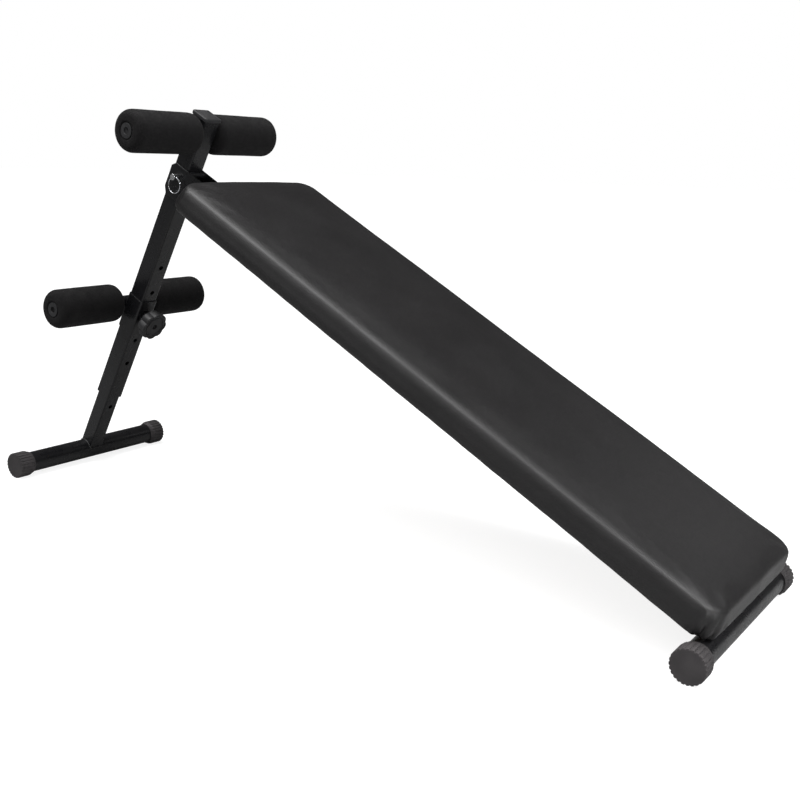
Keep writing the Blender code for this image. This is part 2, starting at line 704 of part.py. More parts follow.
def leg_inner_tube(axis):
    """The sliding leg, cut at its foot to the round of the rear foot tube."""
    mesh = square_tube(LEG_SIZE, LEG_WALL, LEG_CORNER, LEG_TOP)
    leg = add_piece("leg_inner_tube", mesh, axis, (0, 0, LEG_TOP / 2), PAINT)
    cope_mesh = cylinder(FOOT_TUBE_R + FIT, LEG_SIZE + CUT_OVERRUN)
    cut(leg, add_cutter("leg_cope", cope_mesh, axis, (0, 0, 0), ALONG_Y))
    front_holes(leg, axis, LEG_SIZE, LEG_HOLES)


def leg_glide(axis):
    """The plastic plug on the leg's upper end, which guides it in the post."""
    head = POST_SIZE - 2 * POST_WALL - 2 * SLIDE_FIT
    stem = LEG_SIZE - 2 * LEG_WALL - 2 * FIT
    mesh = square_plug(head, GLIDE_HEIGHT, stem, PLUG_DEPTH, POST_CORNER / 2)
    add_piece("leg_glide_plug", mesh, axis, (0, 0, LEG_TOP + FIT), PLASTIC)


# ---- carriage and knob -------------------------------------------------------

def carriage_sleeve(axis):
    """The square sleeve that slides on the post, drilled for the stud."""
    outside = 2 * CARRIAGE_OUTSIDE
    mesh = square_tube(outside, CARRIAGE_WALL, POST_CORNER + CARRIAGE_WALL, CARRIAGE_HEIGHT)
    middle = KNOB_HEIGHT - CARRIAGE_BELOW_KNOB + CARRIAGE_HEIGHT / 2
    sleeve = add_piece("carriage_sleeve", mesh, axis, (0, 0, middle), PAINT)
    hole_mesh = cylinder(STUD_HOLE_R, CARRIAGE_OUTSIDE, SMALL_STEPS)
    cut(sleeve, add_cutter("sleeve_stud_hole", hole_mesh, axis, (CARRIAGE_OUTSIDE, 0, KNOB_HEIGHT), ALONG_X))


def carriage_nut(axis):
    """The hexagon nut fixed to the front of the sleeve."""
    corner_r = NUT_ACROSS_FLATS / 2 / math.cos(math.pi / NUT_SIDES)
    mesh = sheet([circle(corner_r, steps=NUT_SIDES), circle(STUD_HOLE_R)], NUT_THICKNESS)
    place = (NUT_FRONT - NUT_THICKNESS / 2, 0, KNOB_HEIGHT)
    add_piece("carriage_nut", mesh, axis, place, ZINC, ALONG_X)


def knob_radius(angle):
    """Eight rounded lobes with narrower hollows between them."""
    wave = abs(math.cos(KNOB_LOBES * angle / 2))
    return KNOB_R - KNOB_LOBE_DEPTH * (1 - math.sqrt(wave))


def clamp_knob(axis):
    """The lobed knob, bored through for the stud."""
    worn = 1 - KNOB_EDGE / KNOB_R
    stations = [
        (0, worn),
        (KNOB_EDGE, 1.0),
        (KNOB_THICKNESS - KNOB_EDGE, 1.0),
        (KNOB_THICKNESS, worn),
    ]
    mesh = fluted(knob_radius, LOBE_STEPS * KNOB_LOBES, stations)
    knob = add_piece("clamp_knob", mesh, axis, (KNOB_BACK, 0, KNOB_HEIGHT), PLASTIC, ALONG_X)
    bore_mesh = cylinder(STUD_R + FIT, KNOB_THICKNESS + CUT_OVERRUN, SMALL_STEPS)
    bore_place = (KNOB_BACK + KNOB_THICKNESS / 2, 0, KNOB_HEIGHT)
    cut(knob, add_cutter("knob_bore", bore_mesh, axis, bore_place, ALONG_X))


def clamp_stud(axis):
    """The stud fixed in the knob, whose tip stops just short of the post."""
    tip = POST_SIZE / 2 + FIT
    end = KNOB_BACK + KNOB_THICKNESS - STUD_END
    mesh = cylinder(STUD_R, end - tip, SMALL_STEPS)
    add_piece("clamp_stud", mesh, axis, ((tip + end) / 2, 0, KNOB_HEIGHT), ZINC, ALONG_X)


# ---- pin and ring ------------------------------------------------------------

def hinge_pin(axis):
    """The pin through plates and post, headed on the near side and cross-drilled for the ring."""
    head_face = PLATE_OUTSIDE + FIT
    tail = PLATE_OUTSIDE + PIN_TAIL
    profile = [
        (0, head_face + PIN_HEAD_LENGTH),
        (PIN_HEAD_R - PIN_CHAMFER, head_face + PIN_HEAD_LENGTH),
        (PIN_HEAD_R, head_face + PIN_HEAD_LENGTH - PIN_CHAMFER),
        (PIN_HEAD_R, head_face),
        (PIN_R, head_face),
        (PIN_R, PIN_CHAMFER - tail),
        (PIN_R - PIN_CHAMFER, -tail),
        (0, -tail),
    ]
    pin = turned("hinge_pin", profile, axis, (0, 0, PIN_LINE), ZINC, ALONG_MINUS_Y, SMALL_STEPS)
    hole_mesh = cylinder(RING_HOLE_R, 2 * PIN_HEAD_R + CUT_OVERRUN, SMALL_STEPS)
    turn = (0, math.pi / 2 - SLOPE, 0)
    cut(pin, add_cutter("pin_ring_hole", hole_mesh, axis, ring_hole_place(), turn))


def ring_hole_place():
    return (0, -(PLATE_OUTSIDE + RING_HOLE_INSET), PIN_LINE)


def pull_ring(axis):
    """The wire ring, hanging straight down from the hole in the pin's head."""
    bpy.ops.mesh.primitive_torus_add(
        major_segments=RING_STEPS,
        minor_segments=WIRE_STEPS,
        major_radius=RING_R,
        minor_radius=RING_WIRE_R,
    )
    maker = bpy.context.object
    mesh = maker.data.copy()
    bpy.data.objects.remove(maker)
    mesh.shade_smooth()
    down = Vector((math.sin(SLOPE), 0, -math.cos(SLOPE)))
    centre = Vector(ring_hole_place()) + down * RING_R
    add_piece("pull_ring", mesh, axis, centre, ZINC, (math.pi / 2, -SLOPE, 0))


# ---- assembly ----------------------------------------------------------------

def build_rail_side(frame):
    foot("front_foot", frame, FRONT_FOOT_WIDTH, (FRONT_FOOT, 0, RAIL_LINE))
    main_rail(frame)
    rail_end_plug(frame)
    leg_stop(frame)
    for side_name, side in SIDES:
        hinge_plate(frame, side_name, side)
    pad_board(frame)
    pad_foam(frame)
    pad_cover(frame)
    for number, along in enumerate(bracket_places(), 1):
        pad_bracket(frame, number, along)
        for side_name, side in SIDES:
            pad_screw(frame, number, along, side_name, side)


def build_leg_side(frame):
    fold = new_axis("leg_fold_axis", frame, (0, 0, PIN_LINE))
    post_outer_tube(fold)
    post_top_cap(fold)
    roller_pair("upper_roller", fold, (0, 0, UPPER_ROLLER_LINE), UPPER_ROLLER_WIDTH, UPPER_ROLLER_GAP)
    leg_slide = new_axis("leg_slide_axis", fold, (0, 0, 0))
    leg_inner_tube(leg_slide)
    leg_glide(leg_slide)
    foot("rear_foot", leg_slide, REAR_FOOT_WIDTH, (0, 0, 0))
    carriage = new_axis("carriage_slide_axis", fold, (0, 0, KNOB_HEIGHT))
    carriage_sleeve(carriage)
    carriage_nut(carriage)
    lower_place = (-LOWER_ROLLER_BACK, 0, LOWER_ROLLER_LINE)
    roller_pair("lower_roller", carriage, lower_place, LOWER_ROLLER_WIDTH, LOWER_ROLLER_GAP)
    knob_turn = new_axis("knob_turn_axis", carriage, (KNOB_BACK, 0, KNOB_HEIGHT))
    clamp_knob(knob_turn)
    clamp_stud(knob_turn)


def build_pin(frame):
    pin_pull = new_axis("pin_pull_axis", frame, (0, 0, PIN_LINE))
    hinge_pin(pin_pull)
    ring_swing = new_axis("ring_swing_axis", pin_pull, ring_hole_place())
    pull_ring(ring_swing)


def stand_on_floor(frame):
    """Tilts the bench frame to its slope and centres the object's length on the origin."""
    frame.rotation_euler = (0, SLOPE, 0)
    frame.location = (0, 0, CAP_R)
    bpy.context.view_layer.update()
    graph = bpy.context.evaluated_depsgraph_get()
    along = []
    for piece in parts.objects:
        shape = piece.evaluated_get(graph)
        along += [(shape.matrix_world @ vert.co).x for vert in shape.data.vertices]
    frame.location.x = -(min(along) + max(along)) / 2


clear_scene()
parts = new_collection("decline_sit_up_bench")
cutters = new_collection("cutters")
bench_frame = bpy.data.objects.new("bench_frame", None)
bpy.context.scene.collection.objects.link(bench_frame)
build_rail_side(bench_frame)
build_leg_side(bench_frame)
build_pin(bench_frame)
stand_on_floor(bench_frame)
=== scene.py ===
# Decline sit up bench: the finished pieces, finishes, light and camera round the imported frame
import bpy
import bmesh
import json
import math
import random
from mathutils import Matrix, Vector, noise


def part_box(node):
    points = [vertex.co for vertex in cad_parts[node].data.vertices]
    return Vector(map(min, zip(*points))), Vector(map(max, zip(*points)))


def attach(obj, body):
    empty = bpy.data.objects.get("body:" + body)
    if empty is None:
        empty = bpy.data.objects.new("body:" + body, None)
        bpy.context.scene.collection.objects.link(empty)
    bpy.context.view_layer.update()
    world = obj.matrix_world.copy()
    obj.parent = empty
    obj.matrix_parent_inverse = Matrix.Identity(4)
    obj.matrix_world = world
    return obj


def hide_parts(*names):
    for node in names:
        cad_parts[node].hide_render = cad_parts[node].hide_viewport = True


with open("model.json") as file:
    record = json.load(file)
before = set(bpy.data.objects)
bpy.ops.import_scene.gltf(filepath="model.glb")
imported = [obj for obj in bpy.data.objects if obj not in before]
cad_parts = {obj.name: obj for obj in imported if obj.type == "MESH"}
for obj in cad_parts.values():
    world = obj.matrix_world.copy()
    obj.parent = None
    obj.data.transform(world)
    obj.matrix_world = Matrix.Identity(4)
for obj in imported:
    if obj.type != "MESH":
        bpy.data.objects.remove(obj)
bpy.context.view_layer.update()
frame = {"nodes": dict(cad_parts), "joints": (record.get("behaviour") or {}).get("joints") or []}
nodes = frame["nodes"]
print("frame loaded with", len(nodes), "CAD nodes")

# The bench's own directions: along the pad to its low end, across it, and up the post.
# Pieces are modelled in these, from the rear foot's axis, and put in place at the end.
legSlide = next(joint for joint in frame["joints"] if joint["name"] == "leg_height")
benchUp = -Vector(legSlide["axis"]).normalized()
benchAlong = Vector((benchUp.z, 0, -benchUp.x))
benchOrigin = sum(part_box("rear_foot_tube"), Vector()) / 2
benchTurn = Matrix((benchAlong, Vector((0, 1, 0)), benchUp)).transposed().to_4x4()
benchPlace = Matrix.Translation(benchOrigin) @ benchTurn
benchSlope = math.asin(benchUp.x)     # how far the pad leans down to its low end
sides = (("left", -1), ("right", 1))


def benchBox(name):
    # lowest and highest corner of a CAD node in the bench's own directions
    back = benchPlace.inverted()
    corners = [back @ vert.co for vert in nodes[name].data.vertices]
    low = Vector(min(corner[i] for corner in corners) for i in range(3))
    high = Vector(max(corner[i] for corner in corners) for i in range(3))
    return low, high


def middle(name):
    return sum(benchBox(name), Vector()) / 2


def addObject(name, data):
    obj = bpy.data.objects.new(name, data)
    bpy.context.scene.collection.objects.link(obj)
    return obj


def addNode(tree, kind, inputs=None, **settings):
    # inputs takes a value for each named or numbered socket, or an output to join to it
    node = tree.nodes.new(kind)
    for setting, value in settings.items():
        setattr(node, setting, value)
    for socket, value in (inputs or {}).items():
        if isinstance(value, bpy.types.NodeSocket):
            tree.links.new(value, node.inputs[socket])
        else:
            node.inputs[socket].default_value = value
    return node


# camera, floor and light

cameraValues = {
    "place": (1.0311, -1.3403, 0.6051),
    "right": (0.8179, 0.5747, 0.0248),
    "up": (-0.1468, 0.1667, 0.9749),
    "lens": 47.67,
}


def makeCamera(values):
    data = bpy.data.cameras.new("benchCamera")
    data.lens = values["lens"]
    data.sensor_width = 36
    camera = addObject("benchCamera", data)
    right = Vector(values["right"]).normalized()
    up = Vector(values["up"]).normalized()
    turn = Matrix((right, up, right.cross(up))).transposed().to_4x4()
    camera.matrix_world = Matrix.Translation(values["place"]) @ turn
    bpy.context.scene.camera = camera


studioValues = {
    "floorColour": (0.30, 0.30, 0.30),
    "floorSeen": 0.86,        # glow that makes the paper white to look at
    "floorGlow": 0.05,        # glow that the pieces see in it
    "floorSize": 60,
    "floorRoughness": 0.95,
    "floorSpecular": 0.1,
    "surround": 0.07,         # light that the pieces see from the room
    "sun": 3.0,
    "sunTurn": (math.radians(24), math.radians(-14), 0),
    "sunSoftness": math.radians(50),
}

# name, power, width, depth, place, and what it faces
softboxes = (
    ("overhead", 38, 2.4, 1.3, (0.10, -0.25, 2.3), (0.05, 0.0, 0.3)),
    ("front", 7, 1.6, 1.2, (-0.9, -2.4, 1.3), (-0.1, 0.0, 0.3)),
    ("behind", 1.6, 0.9, 0.7, (1.0, 2.2, 1.3), (0.6, 0.0, 0.10)),
    ("lowEnd", 32, 0.6, 0.5, (1.75, -0.15, 1.55), (0.6, -0.1, 0.10)),
    ("lowFront", 24, 1.2, 0.4, (2.6, -1.0, 0.45), (0.65, 0.0, 0.05)),
)


def cameraOr(tree, seen, reflected):
    # one strength for what is looked at, and another for what lights the pieces
    ray = addNode(tree, "ShaderNodeLightPath").outputs["Is Camera Ray"]
    strengths = {"Value": ray, "To Min": reflected, "To Max": seen}
    return addNode(tree, "ShaderNodeMapRange", strengths).outputs["Result"]


def makeStudio(values):
    bpy.ops.object.select_all(action="DESELECT")
    bpy.ops.mesh.primitive_plane_add(size=values["floorSize"], location=(0, 0, 0))
    floor = bpy.context.object
    floor.name = "studioFloor"
    material = bpy.data.materials.new("floorPaper")
    material.use_nodes = True
    tree = material.node_tree
    shader = tree.nodes["Principled BSDF"]
    shader.inputs["Base Color"].default_value = (*values["floorColour"], 1)
    shader.inputs["Roughness"].default_value = values["floorRoughness"]
    shader.inputs["Specular IOR Level"].default_value = values["floorSpecular"]
    shader.inputs["Emission Color"].default_value = (1, 1, 1, 1)
    glow = cameraOr(tree, values["floorSeen"], values["floorGlow"])
    tree.links.new(glow, shader.inputs["Emission Strength"])
    floor.data.materials.append(material)

    # the room is white to look at, and dim enough in reflections to keep black pieces black
    world = bpy.data.worlds.new("studioRoom")
    bpy.context.scene.world = world
    world.use_nodes = True
    background = world.node_tree.nodes["Background"]
    background.inputs["Color"].default_value = (1, 1, 1, 1)
    strength = cameraOr(world.node_tree, 1.0, values["surround"])
    world.node_tree.links.new(strength, background.inputs["Strength"])

    sun = bpy.data.lights.new("skylight", "SUN")
    sun.energy = values["sun"]
    sun.angle = values["sunSoftness"]
    addObject("skylight", sun).rotation_euler = values["sunTurn"]
    for name, power, width, depth, place, target in softboxes:
        light = bpy.data.lights.new(name, "AREA")
        light.shape = "RECTANGLE"
        light.size = width
        light.size_y = depth
        light.energy = power
        box = addObject(name, light)
        box.location = place
        box.rotation_euler = (Vector(target) - Vector(place)).to_track_quat("-Z", "Y").to_euler()
    bpy.context.scene.view_settings.view_transform = "Standard"


makeCamera(cameraValues)
makeStudio(studioValues)
print("camera, floor and light set")


# finishes

def mixColours(tree, factor, first, second):
    return addNode(tree, "ShaderNodeMix", {0: factor, 6: first, 7: second}, data_type="RGBA").outputs[2]


def mathNode(tree, operation, first, second=0.0):
    return addNode(tree, "ShaderNodeMath", {0: first, 1: second}, operation=operation).outputs[0]


def vectorNode(tree, operation, inputs):
    return addNode(tree, "ShaderNodeVectorMath", inputs, operation=operation).outputs


def spread(tree, value, low, high, toLow=0.0, toHigh=1.0):
    # what lies between low and high, spread between two other values
    ends = {"Value": value, "From Min": low, "From Max": high, "To Min": toLow, "To Max": toHigh}
    return addNode(tree, "ShaderNodeMapRange", ends).outputs[0]


def speckle(tree, where, scale, detail, **more):
    inputs = {"Vector": where, "Scale": scale, "Detail": detail, **more}
    return addNode(tree, "ShaderNodeTexNoise", inputs).outputs[0]


def newGroup(name, inputs, outputs):
    group = bpy.data.node_groups.new(name, "ShaderNodeTree")
    for title, kind, value in inputs:
        socket = group.interface.new_socket(name=title, in_out="INPUT", socket_type=kind)
        if value is not None:
            socket.default_value = value
    for title, kind in outputs:
        group.interface.new_socket(name=title, in_out="OUTPUT", socket_type=kind)
    return group, group.nodes.new("NodeGroupInput"), group.nodes.new("NodeGroupOutput")


def makeDustGroup():
    # fine dust lying on whatever faces up, in soft drifts
    group, given, made = newGroup(
        "restingDust",
        (("Vector", "NodeSocketVector", None), ("Amount", "NodeSocketFloat", 0.2),
         ("Scale", "NodeSocketFloat", 18.0)),
        (("Mask", "NodeSocketFloat"),),
    )
    normal = addNode(group, "ShaderNodeNewGeometry").outputs["Normal"]
    up = addNode(group, "ShaderNodeSeparateXYZ", {"Vector": normal}).outputs["Z"]
    drift = speckle(group, given.outputs["Vector"], given.outputs["Scale"], 6.0, Roughness=0.65)
    lying = mathNode(group, "MULTIPLY", spread(group, up, 0.25, 1.0), spread(group, drift, 0.42, 0.75))
    group.links.new(mathNode(group, "MULTIPLY", lying, given.outputs["Amount"]), made.inputs["Mask"])
    return group


def makeWearGroup():
    # edges rubbed by hands and boxes: where a rounded normal leaves the real one, broken up by noise
    group, given, made = newGroup(
        "rubbedEdges",
        (("Vector", "NodeSocketVector", None), ("Radius", "NodeSocketFloat", 0.0008),
         ("Amount", "NodeSocketFloat", 0.5)),
        (("Mask", "NodeSocketFloat"),),
    )
    rounded = addNode(group, "ShaderNodeBevel", {"Radius": given.outputs["Radius"]}, samples=4).outputs[0]
    real = addNode(group, "ShaderNodeNewGeometry").outputs["Normal"]
    agree = vectorNode(group, "DOT_PRODUCT", {0: rounded, 1: real})["Value"]
    rub = speckle(group, given.outputs["Vector"], 60.0, 5.0)
    worn = mathNode(group, "MULTIPLY", spread(group, agree, 0.99, 0.80), spread(group, rub, 0.45, 0.62))
    group.links.new(mathNode(group, "MULTIPLY", worn, given.outputs["Amount"]), made.inputs["Mask"])
    return group


def makeGrainGroup():
    # a pebbled skin: small cells with finer noise in them
    group, given, made = newGroup(
        "pebbleGrain",
        (("Vector", "NodeSocketVector", None), ("Scale", "NodeSocketFloat", 600.0),
         ("Fineness", "NodeSocketFloat", 0.35)),
        (("Height", "NodeSocketFloat"), ("Pits", "NodeSocketFloat")),
    )
    where = given.outputs["Vector"]
    wandering = {"Vector": where, "Scale": 90.0, "Detail": 2.0}
    wander = addNode(group, "ShaderNodeTexNoise", wandering).outputs["Color"]
    place = vectorNode(group, "ADD", {0: where, 1: vectorNode(group, "SCALE", {0: wander, "Scale": 0.004})[0]})[0]
    packed = {"Vector": place, "Scale": given.outputs["Scale"]}
    cells = addNode(group, "ShaderNodeTexVoronoi", packed, feature="DISTANCE_TO_EDGE").outputs["Distance"]
    pebble = addNode(
        group, "ShaderNodeMapRange", {"Value": cells, "From Max": 0.28}, interpolation_type="SMOOTHSTEP"
    ).outputs[0]
    fine = speckle(group, place, mathNode(group, "MULTIPLY", given.outputs["Scale"], 2.3), 3.0)
    fineShare = mathNode(group, "MULTIPLY", fine, given.outputs["Fineness"])
    group.links.new(mathNode(group, "ADD", pebble, fineShare), made.inputs["Height"])
    # Pits marks the hollows between the cells; the vinyl also darkens them in its colour as painted shade
    group.links.new(mathNode(group, "SUBTRACT", 1.0, pebble), made.inputs["Pits"])
    return group


dustGroup = makeDustGroup()
wearGroup = makeWearGroup()
grainGroup = makeGrainGroup()


def useGroup(tree, group, where, values):
    return addNode(tree, "ShaderNodeGroup", {"Vector": where, **values}, node_tree=group).outputs


def newFinish(name, metallic=0.0, specular=0.5):
    material = bpy.data.materials.new(name)
    material.use_nodes = True
    tree = material.node_tree
    shader = tree.nodes["Principled BSDF"]
    shader.inputs["Metallic"].default_value = metallic
    shader.inputs["Specular IOR Level"].default_value = specular
    where = addNode(tree, "ShaderNodeTexCoord").outputs["Object"]
    return material, tree, shader, where


def bump(tree, height, strength, depth, under=None):
    inputs = {"Height": height, "Strength": strength, "Distance": depth}
    if under is not None:
        inputs["Normal"] = under
    return addNode(tree, "ShaderNodeBump", inputs).outputs["Normal"]


def bumpInto(tree, shader, *bumping):
    tree.links.new(bump(tree, *bumping), shader.inputs["Normal"])


def cloudy(tree, where, scale, low, high, detail=4.0):
    # a slow noise spread between two values
    return spread(tree, speckle(tree, where, scale, detail), 0.3, 0.7, low, high)


coatValues = {
    "colour": (0.0060, 0.0060, 0.0068, 1),
    "thin": (0.022, 0.022, 0.024, 1),
    "dust": (0.14, 0.13, 0.13, 1),
    "roughness": (0.22, 0.33),
    "specular": 0.32,
    "wear": {"Radius": 0.0007, "Amount": 0.55},
    "dusting": {"Amount": 0.05, "Scale": 22.0},
    "peel": 420,
    "peelBump": (0.22, 0.0006),      # strength and depth, as in all the bumps
}


def makePowderCoat(values):
    material, tree, shader, where = newFinish("blackPowderCoat", specular=values["specular"])
    wear = useGroup(tree, wearGroup, where, values["wear"])["Mask"]
    dust = useGroup(tree, dustGroup, where, values["dusting"])["Mask"]
    colour = mixColours(tree, wear, values["colour"], values["thin"])
    colour = mixColours(tree, dust, colour, values["dust"])
    tree.links.new(colour, shader.inputs["Base Color"])
    rough = cloudy(tree, where, 35.0, *values["roughness"])
    rough = mathNode(tree, "ADD", rough, mathNode(tree, "MULTIPLY", dust, 2.0))
    tree.links.new(rough, shader.inputs["Roughness"])
    bumpInto(tree, shader, speckle(tree, where, values["peel"], 2.5), *values["peelBump"])
    return material


vinylValues = {
    "colour": (0.0062, 0.0058, 0.0062, 1),
    "rubbed": (0.0092, 0.0084, 0.0088, 1),
    # painted shade: the darker colour laid into the grain's pits
    "pit": (0.004, 0.0038, 0.004, 1),
    "roughness": (0.36, 0.47),
    "specular": 0.38,
    "grain": {"Scale": 620, "Fineness": 0.4},
    "grainBump": (0.30, 0.00022),
    "creases": 38.0,
    "creaseBump": (0.25, 0.0012),
}


def makeVinyl(values):
    material, tree, shader, where = newFinish("blackUpholsteryVinyl", specular=values["specular"])
    grain = useGroup(tree, grainGroup, where, values["grain"])
    patches = cloudy(tree, where, 5.5, 0.0, 1.0, 6.0)
    colour = mixColours(tree, patches, values["colour"], values["rubbed"])
    # painted shade: the grain's pits are darkened in the colour, as if shade fell in them
    colour = mixColours(tree, mathNode(tree, "MULTIPLY", grain["Pits"], 0.6), colour, values["pit"])
    tree.links.new(colour, shader.inputs["Base Color"])
    rough = cloudy(tree, where, 9.0, *values["roughness"], 5.0)
    rough = mathNode(tree, "ADD", rough, mathNode(tree, "MULTIPLY", grain["Pits"], 0.08))
    tree.links.new(rough, shader.inputs["Roughness"])
    creases = speckle(tree, where, values["creases"], 5.0, Distortion=1.2)
    bumpInto(tree, shader, grain["Height"], *values["grainBump"], bump(tree, creases, *values["creaseBump"]))
    return material


foamValues = {
    "colour": (0.0030, 0.0028, 0.0032, 1),
    "raised": (0.0062, 0.0058, 0.0061, 1),
    "dust": (0.16, 0.15, 0.15, 1),
    "roughness": (0.82, 0.98),
    "specular": 0.12,
    "sheen": 0.02,
    "sheenRoughness": 0.6,
    "dusting": {"Amount": 0.05, "Scale": 55.0},
    "cells": {"Scale": 780, "Fineness": 0.8},
    "cellBump": (0.6, 0.0004),
    "lumps": 160.0,
    "lumpBump": (0.35, 0.001),
}


def makeFoamSkin(values):
    material, tree, shader, where = newFinish("blackRollerFoam", specular=values["specular"])
    cells = useGroup(tree, grainGroup, where, values["cells"])
    dust = useGroup(tree, dustGroup, where, values["dusting"])["Mask"]
    colour = mixColours(tree, cloudy(tree, where, 420.0, 0.0, 1.0), values["colour"], values["raised"])
    colour = mixColours(tree, dust, colour, values["dust"])
    tree.links.new(colour, shader.inputs["Base Color"])
    tree.links.new(cloudy(tree, where, 60.0, *values["roughness"]), shader.inputs["Roughness"])
    soft = bump(tree, speckle(tree, where, values["lumps"], 3.0), *values["lumpBump"])
    bumpInto(tree, shader, cells["Height"], *values["cellBump"], soft)
    shader.inputs["Sheen Weight"].default_value = values["sheen"]
    shader.inputs["Sheen Roughness"].default_value = values["sheenRoughness"]
    return material


plasticValues = {
    "colour": (0.012, 0.012, 0.013, 1),
    "rubbed": (0.036, 0.036, 0.038, 1),
    "roughness": (0.42, 0.58),
    "grain": 900,
    "depth": 0.00012,
}

capRubberValues = {
    "colour": (0.026, 0.024, 0.025, 1),
    "rubbed": (0.056, 0.051, 0.053, 1),
    "roughness": (0.58, 0.74),
    "grain": 700,
    "depth": 0.0002,
}

mouldedValues = {
    "specular": 0.28,
    "dust": (0.22, 0.21, 0.20, 1),
    "dusting": {"Amount": 0.10, "Scale": 40.0},
    "wear": {"Radius": 0.0006, "Amount": 0.7},
    "fineness": 0.6,
    "bump": 0.35,
}


def makeMoulded(name, values):
    # moulded plastic or rubber: spark-eroded grain, scuffed edges, a little dust
    material, tree, shader, where = newFinish(name, specular=mouldedValues["specular"])
    grain = {"Scale": values["grain"], "Fineness": mouldedValues["fineness"]}
    skin = useGroup(tree, grainGroup, where, grain)
    wear = useGroup(tree, wearGroup, where, mouldedValues["wear"])["Mask"]
    dust = useGroup(tree, dustGroup, where, mouldedValues["dusting"])["Mask"]
    base = mixColours(tree, cloudy(tree, where, 30.0, 0.0, 0.5), values["colour"], values["rubbed"])
    base = mixColours(tree, wear, base, values["rubbed"])
    base = mixColours(tree, dust, base, mouldedValues["dust"])
    tree.links.new(base, shader.inputs["Base Color"])
    tree.links.new(cloudy(tree, where, 45.0, *values["roughness"]), shader.inputs["Roughness"])
    bumpInto(tree, shader, skin["Height"], mouldedValues["bump"], values["depth"])
    return material


zincValues = {
    "bright": (0.66, 0.68, 0.74, 1),
    "warm": (0.62, 0.60, 0.52, 1),
    "dull": (0.30, 0.30, 0.31, 1),
    "roughness": (0.16, 0.36),
    "marks": 900.0,
    "markBump": (0.15, 0.0003),
}


def makeZinc(values):
    material, tree, shader, where = newFinish("brightZinc", metallic=1.0)
    tint = cloudy(tree, where, 130.0, 0.0, 0.6)
    colour = mixColours(tree, tint, values["bright"], values["warm"])
    dulled = cloudy(tree, where, 420.0, 0.0, 0.45)
    tree.links.new(mixColours(tree, dulled, colour, values["dull"]), shader.inputs["Base Color"])
    tree.links.new(cloudy(tree, where, 260.0, *values["roughness"]), shader.inputs["Roughness"])
    bumpInto(tree, shader, speckle(tree, where, values["marks"], 3.0), *values["markBump"])
    return material


plywoodValues = {
    "early": (0.42, 0.28, 0.155, 1),
    "late": (0.55, 0.39, 0.23, 1),
    "fibre": (0.30, 0.185, 0.095, 1),
    "roughness": (0.62, 0.82),
    "specular": 0.3,
    "stretch": (3.0, 60.0, 60.0),
    "fibreBump": (0.4, 0.0005),
}


def makePlywood(values):
    material, tree, shader, where = newFinish("birchPlywood", specular=values["specular"])
    # long grain runs down the bench
    down = {"Vector": where, "Rotation": (0, -benchSlope, 0), "Scale": values["stretch"]}
    stretched = addNode(tree, "ShaderNodeMapping", down).outputs[0]
    growth = {"Vector": stretched, "Scale": 0.35, "Distortion": 9.0, "Detail": 4.0, "Detail Scale": 0.7}
    rings = addNode(tree, "ShaderNodeTexWave", growth).outputs["Fac"]
    fibres = speckle(tree, stretched, 9.0, 8.0)
    colour = mixColours(tree, rings, values["early"], values["late"])
    colour = mixColours(tree, mathNode(tree, "MULTIPLY", fibres, 0.55), colour, values["fibre"])
    tree.links.new(colour, shader.inputs["Base Color"])
    tree.links.new(cloudy(tree, stretched, 4.0, *values["roughness"]), shader.inputs["Roughness"])
    bumpInto(tree, shader, fibres, *values["fibreBump"])
    return material


finishes = {
    "paint": makePowderCoat(coatValues),
    "vinyl": makeVinyl(vinylValues),
    "roller_foam": makeFoamSkin(foamValues),
    "plastic": makeMoulded("blackMouldedPlastic", plasticValues),
    "cap_rubber": makeMoulded("greyCapRubber", capRubberValues),
    "zinc": makeZinc(zincValues),
    "plywood": makePlywood(plywoodValues),
}
print("finishes made:", ", ".join(finishes))


# modelling

def deselectAll():
    if bpy.context.mode != "OBJECT":
        bpy.ops.object.mode_set(mode="OBJECT")
    bpy.ops.object.select_all(action="DESELECT")


def startCube(centre, size):
    deselectAll()
    bpy.ops.mesh.primitive_cube_add(size=1, location=centre, scale=size)
    bpy.ops.object.transform_apply(location=True, rotation=True, scale=True)
    return bpy.context.object


def startCylinder(centre, radius, length, along="Z", vertices=96):
    deselectAll()
    turn = {"X": (0, math.pi / 2, 0), "Y": (-math.pi / 2, 0, 0), "Z": (0, 0, 0)}[along]
    bpy.ops.mesh.primitive_cylinder_add(
        vertices=vertices, radius=radius, depth=length, location=centre, rotation=turn
    )
    bpy.ops.object.transform_apply(location=True, rotation=True, scale=True)
    return bpy.context.object


def pickOnly(obj):
    deselectAll()
    bpy.context.view_layer.objects.active = obj
    obj.select_set(True)


def edit(obj, mode="FACE"):
    pickOnly(obj)
    bpy.ops.object.mode_set(mode="EDIT")
    bpy.ops.mesh.select_mode(type=mode)
    bpy.ops.mesh.select_all(action="DESELECT")


def pickFaces(obj, wanted):
    # wanted(centre, normal) says which faces are selected
    bpy.ops.mesh.select_all(action="DESELECT")
    bm = bmesh.from_edit_mesh(obj.data)
    bm.normal_update()
    for face in bm.faces:
        if wanted(face.calc_center_median(), face.normal):
            face.select_set(True)
    bmesh.update_edit_mesh(obj.data)


def pickEdges(obj, wanted):
    # wanted(start, end) says which edges are selected
    bpy.ops.mesh.select_all(action="DESELECT")
    bm = bmesh.from_edit_mesh(obj.data)
    for edge in bm.edges:
        if wanted(edge.verts[0].co, edge.verts[1].co):
            edge.select_set(True)
    bmesh.update_edit_mesh(obj.data)


def done():
    bpy.ops.object.mode_set(mode="OBJECT")


def endOf(obj, direction):
    # a test for the flat face farthest along a direction
    direction = Vector(direction)
    reach = max(vert.co.dot(direction) for vert in obj.data.vertices)
    return lambda centre, normal: normal.dot(direction) > 0.99 and centre.dot(direction) > reach - 1e-4


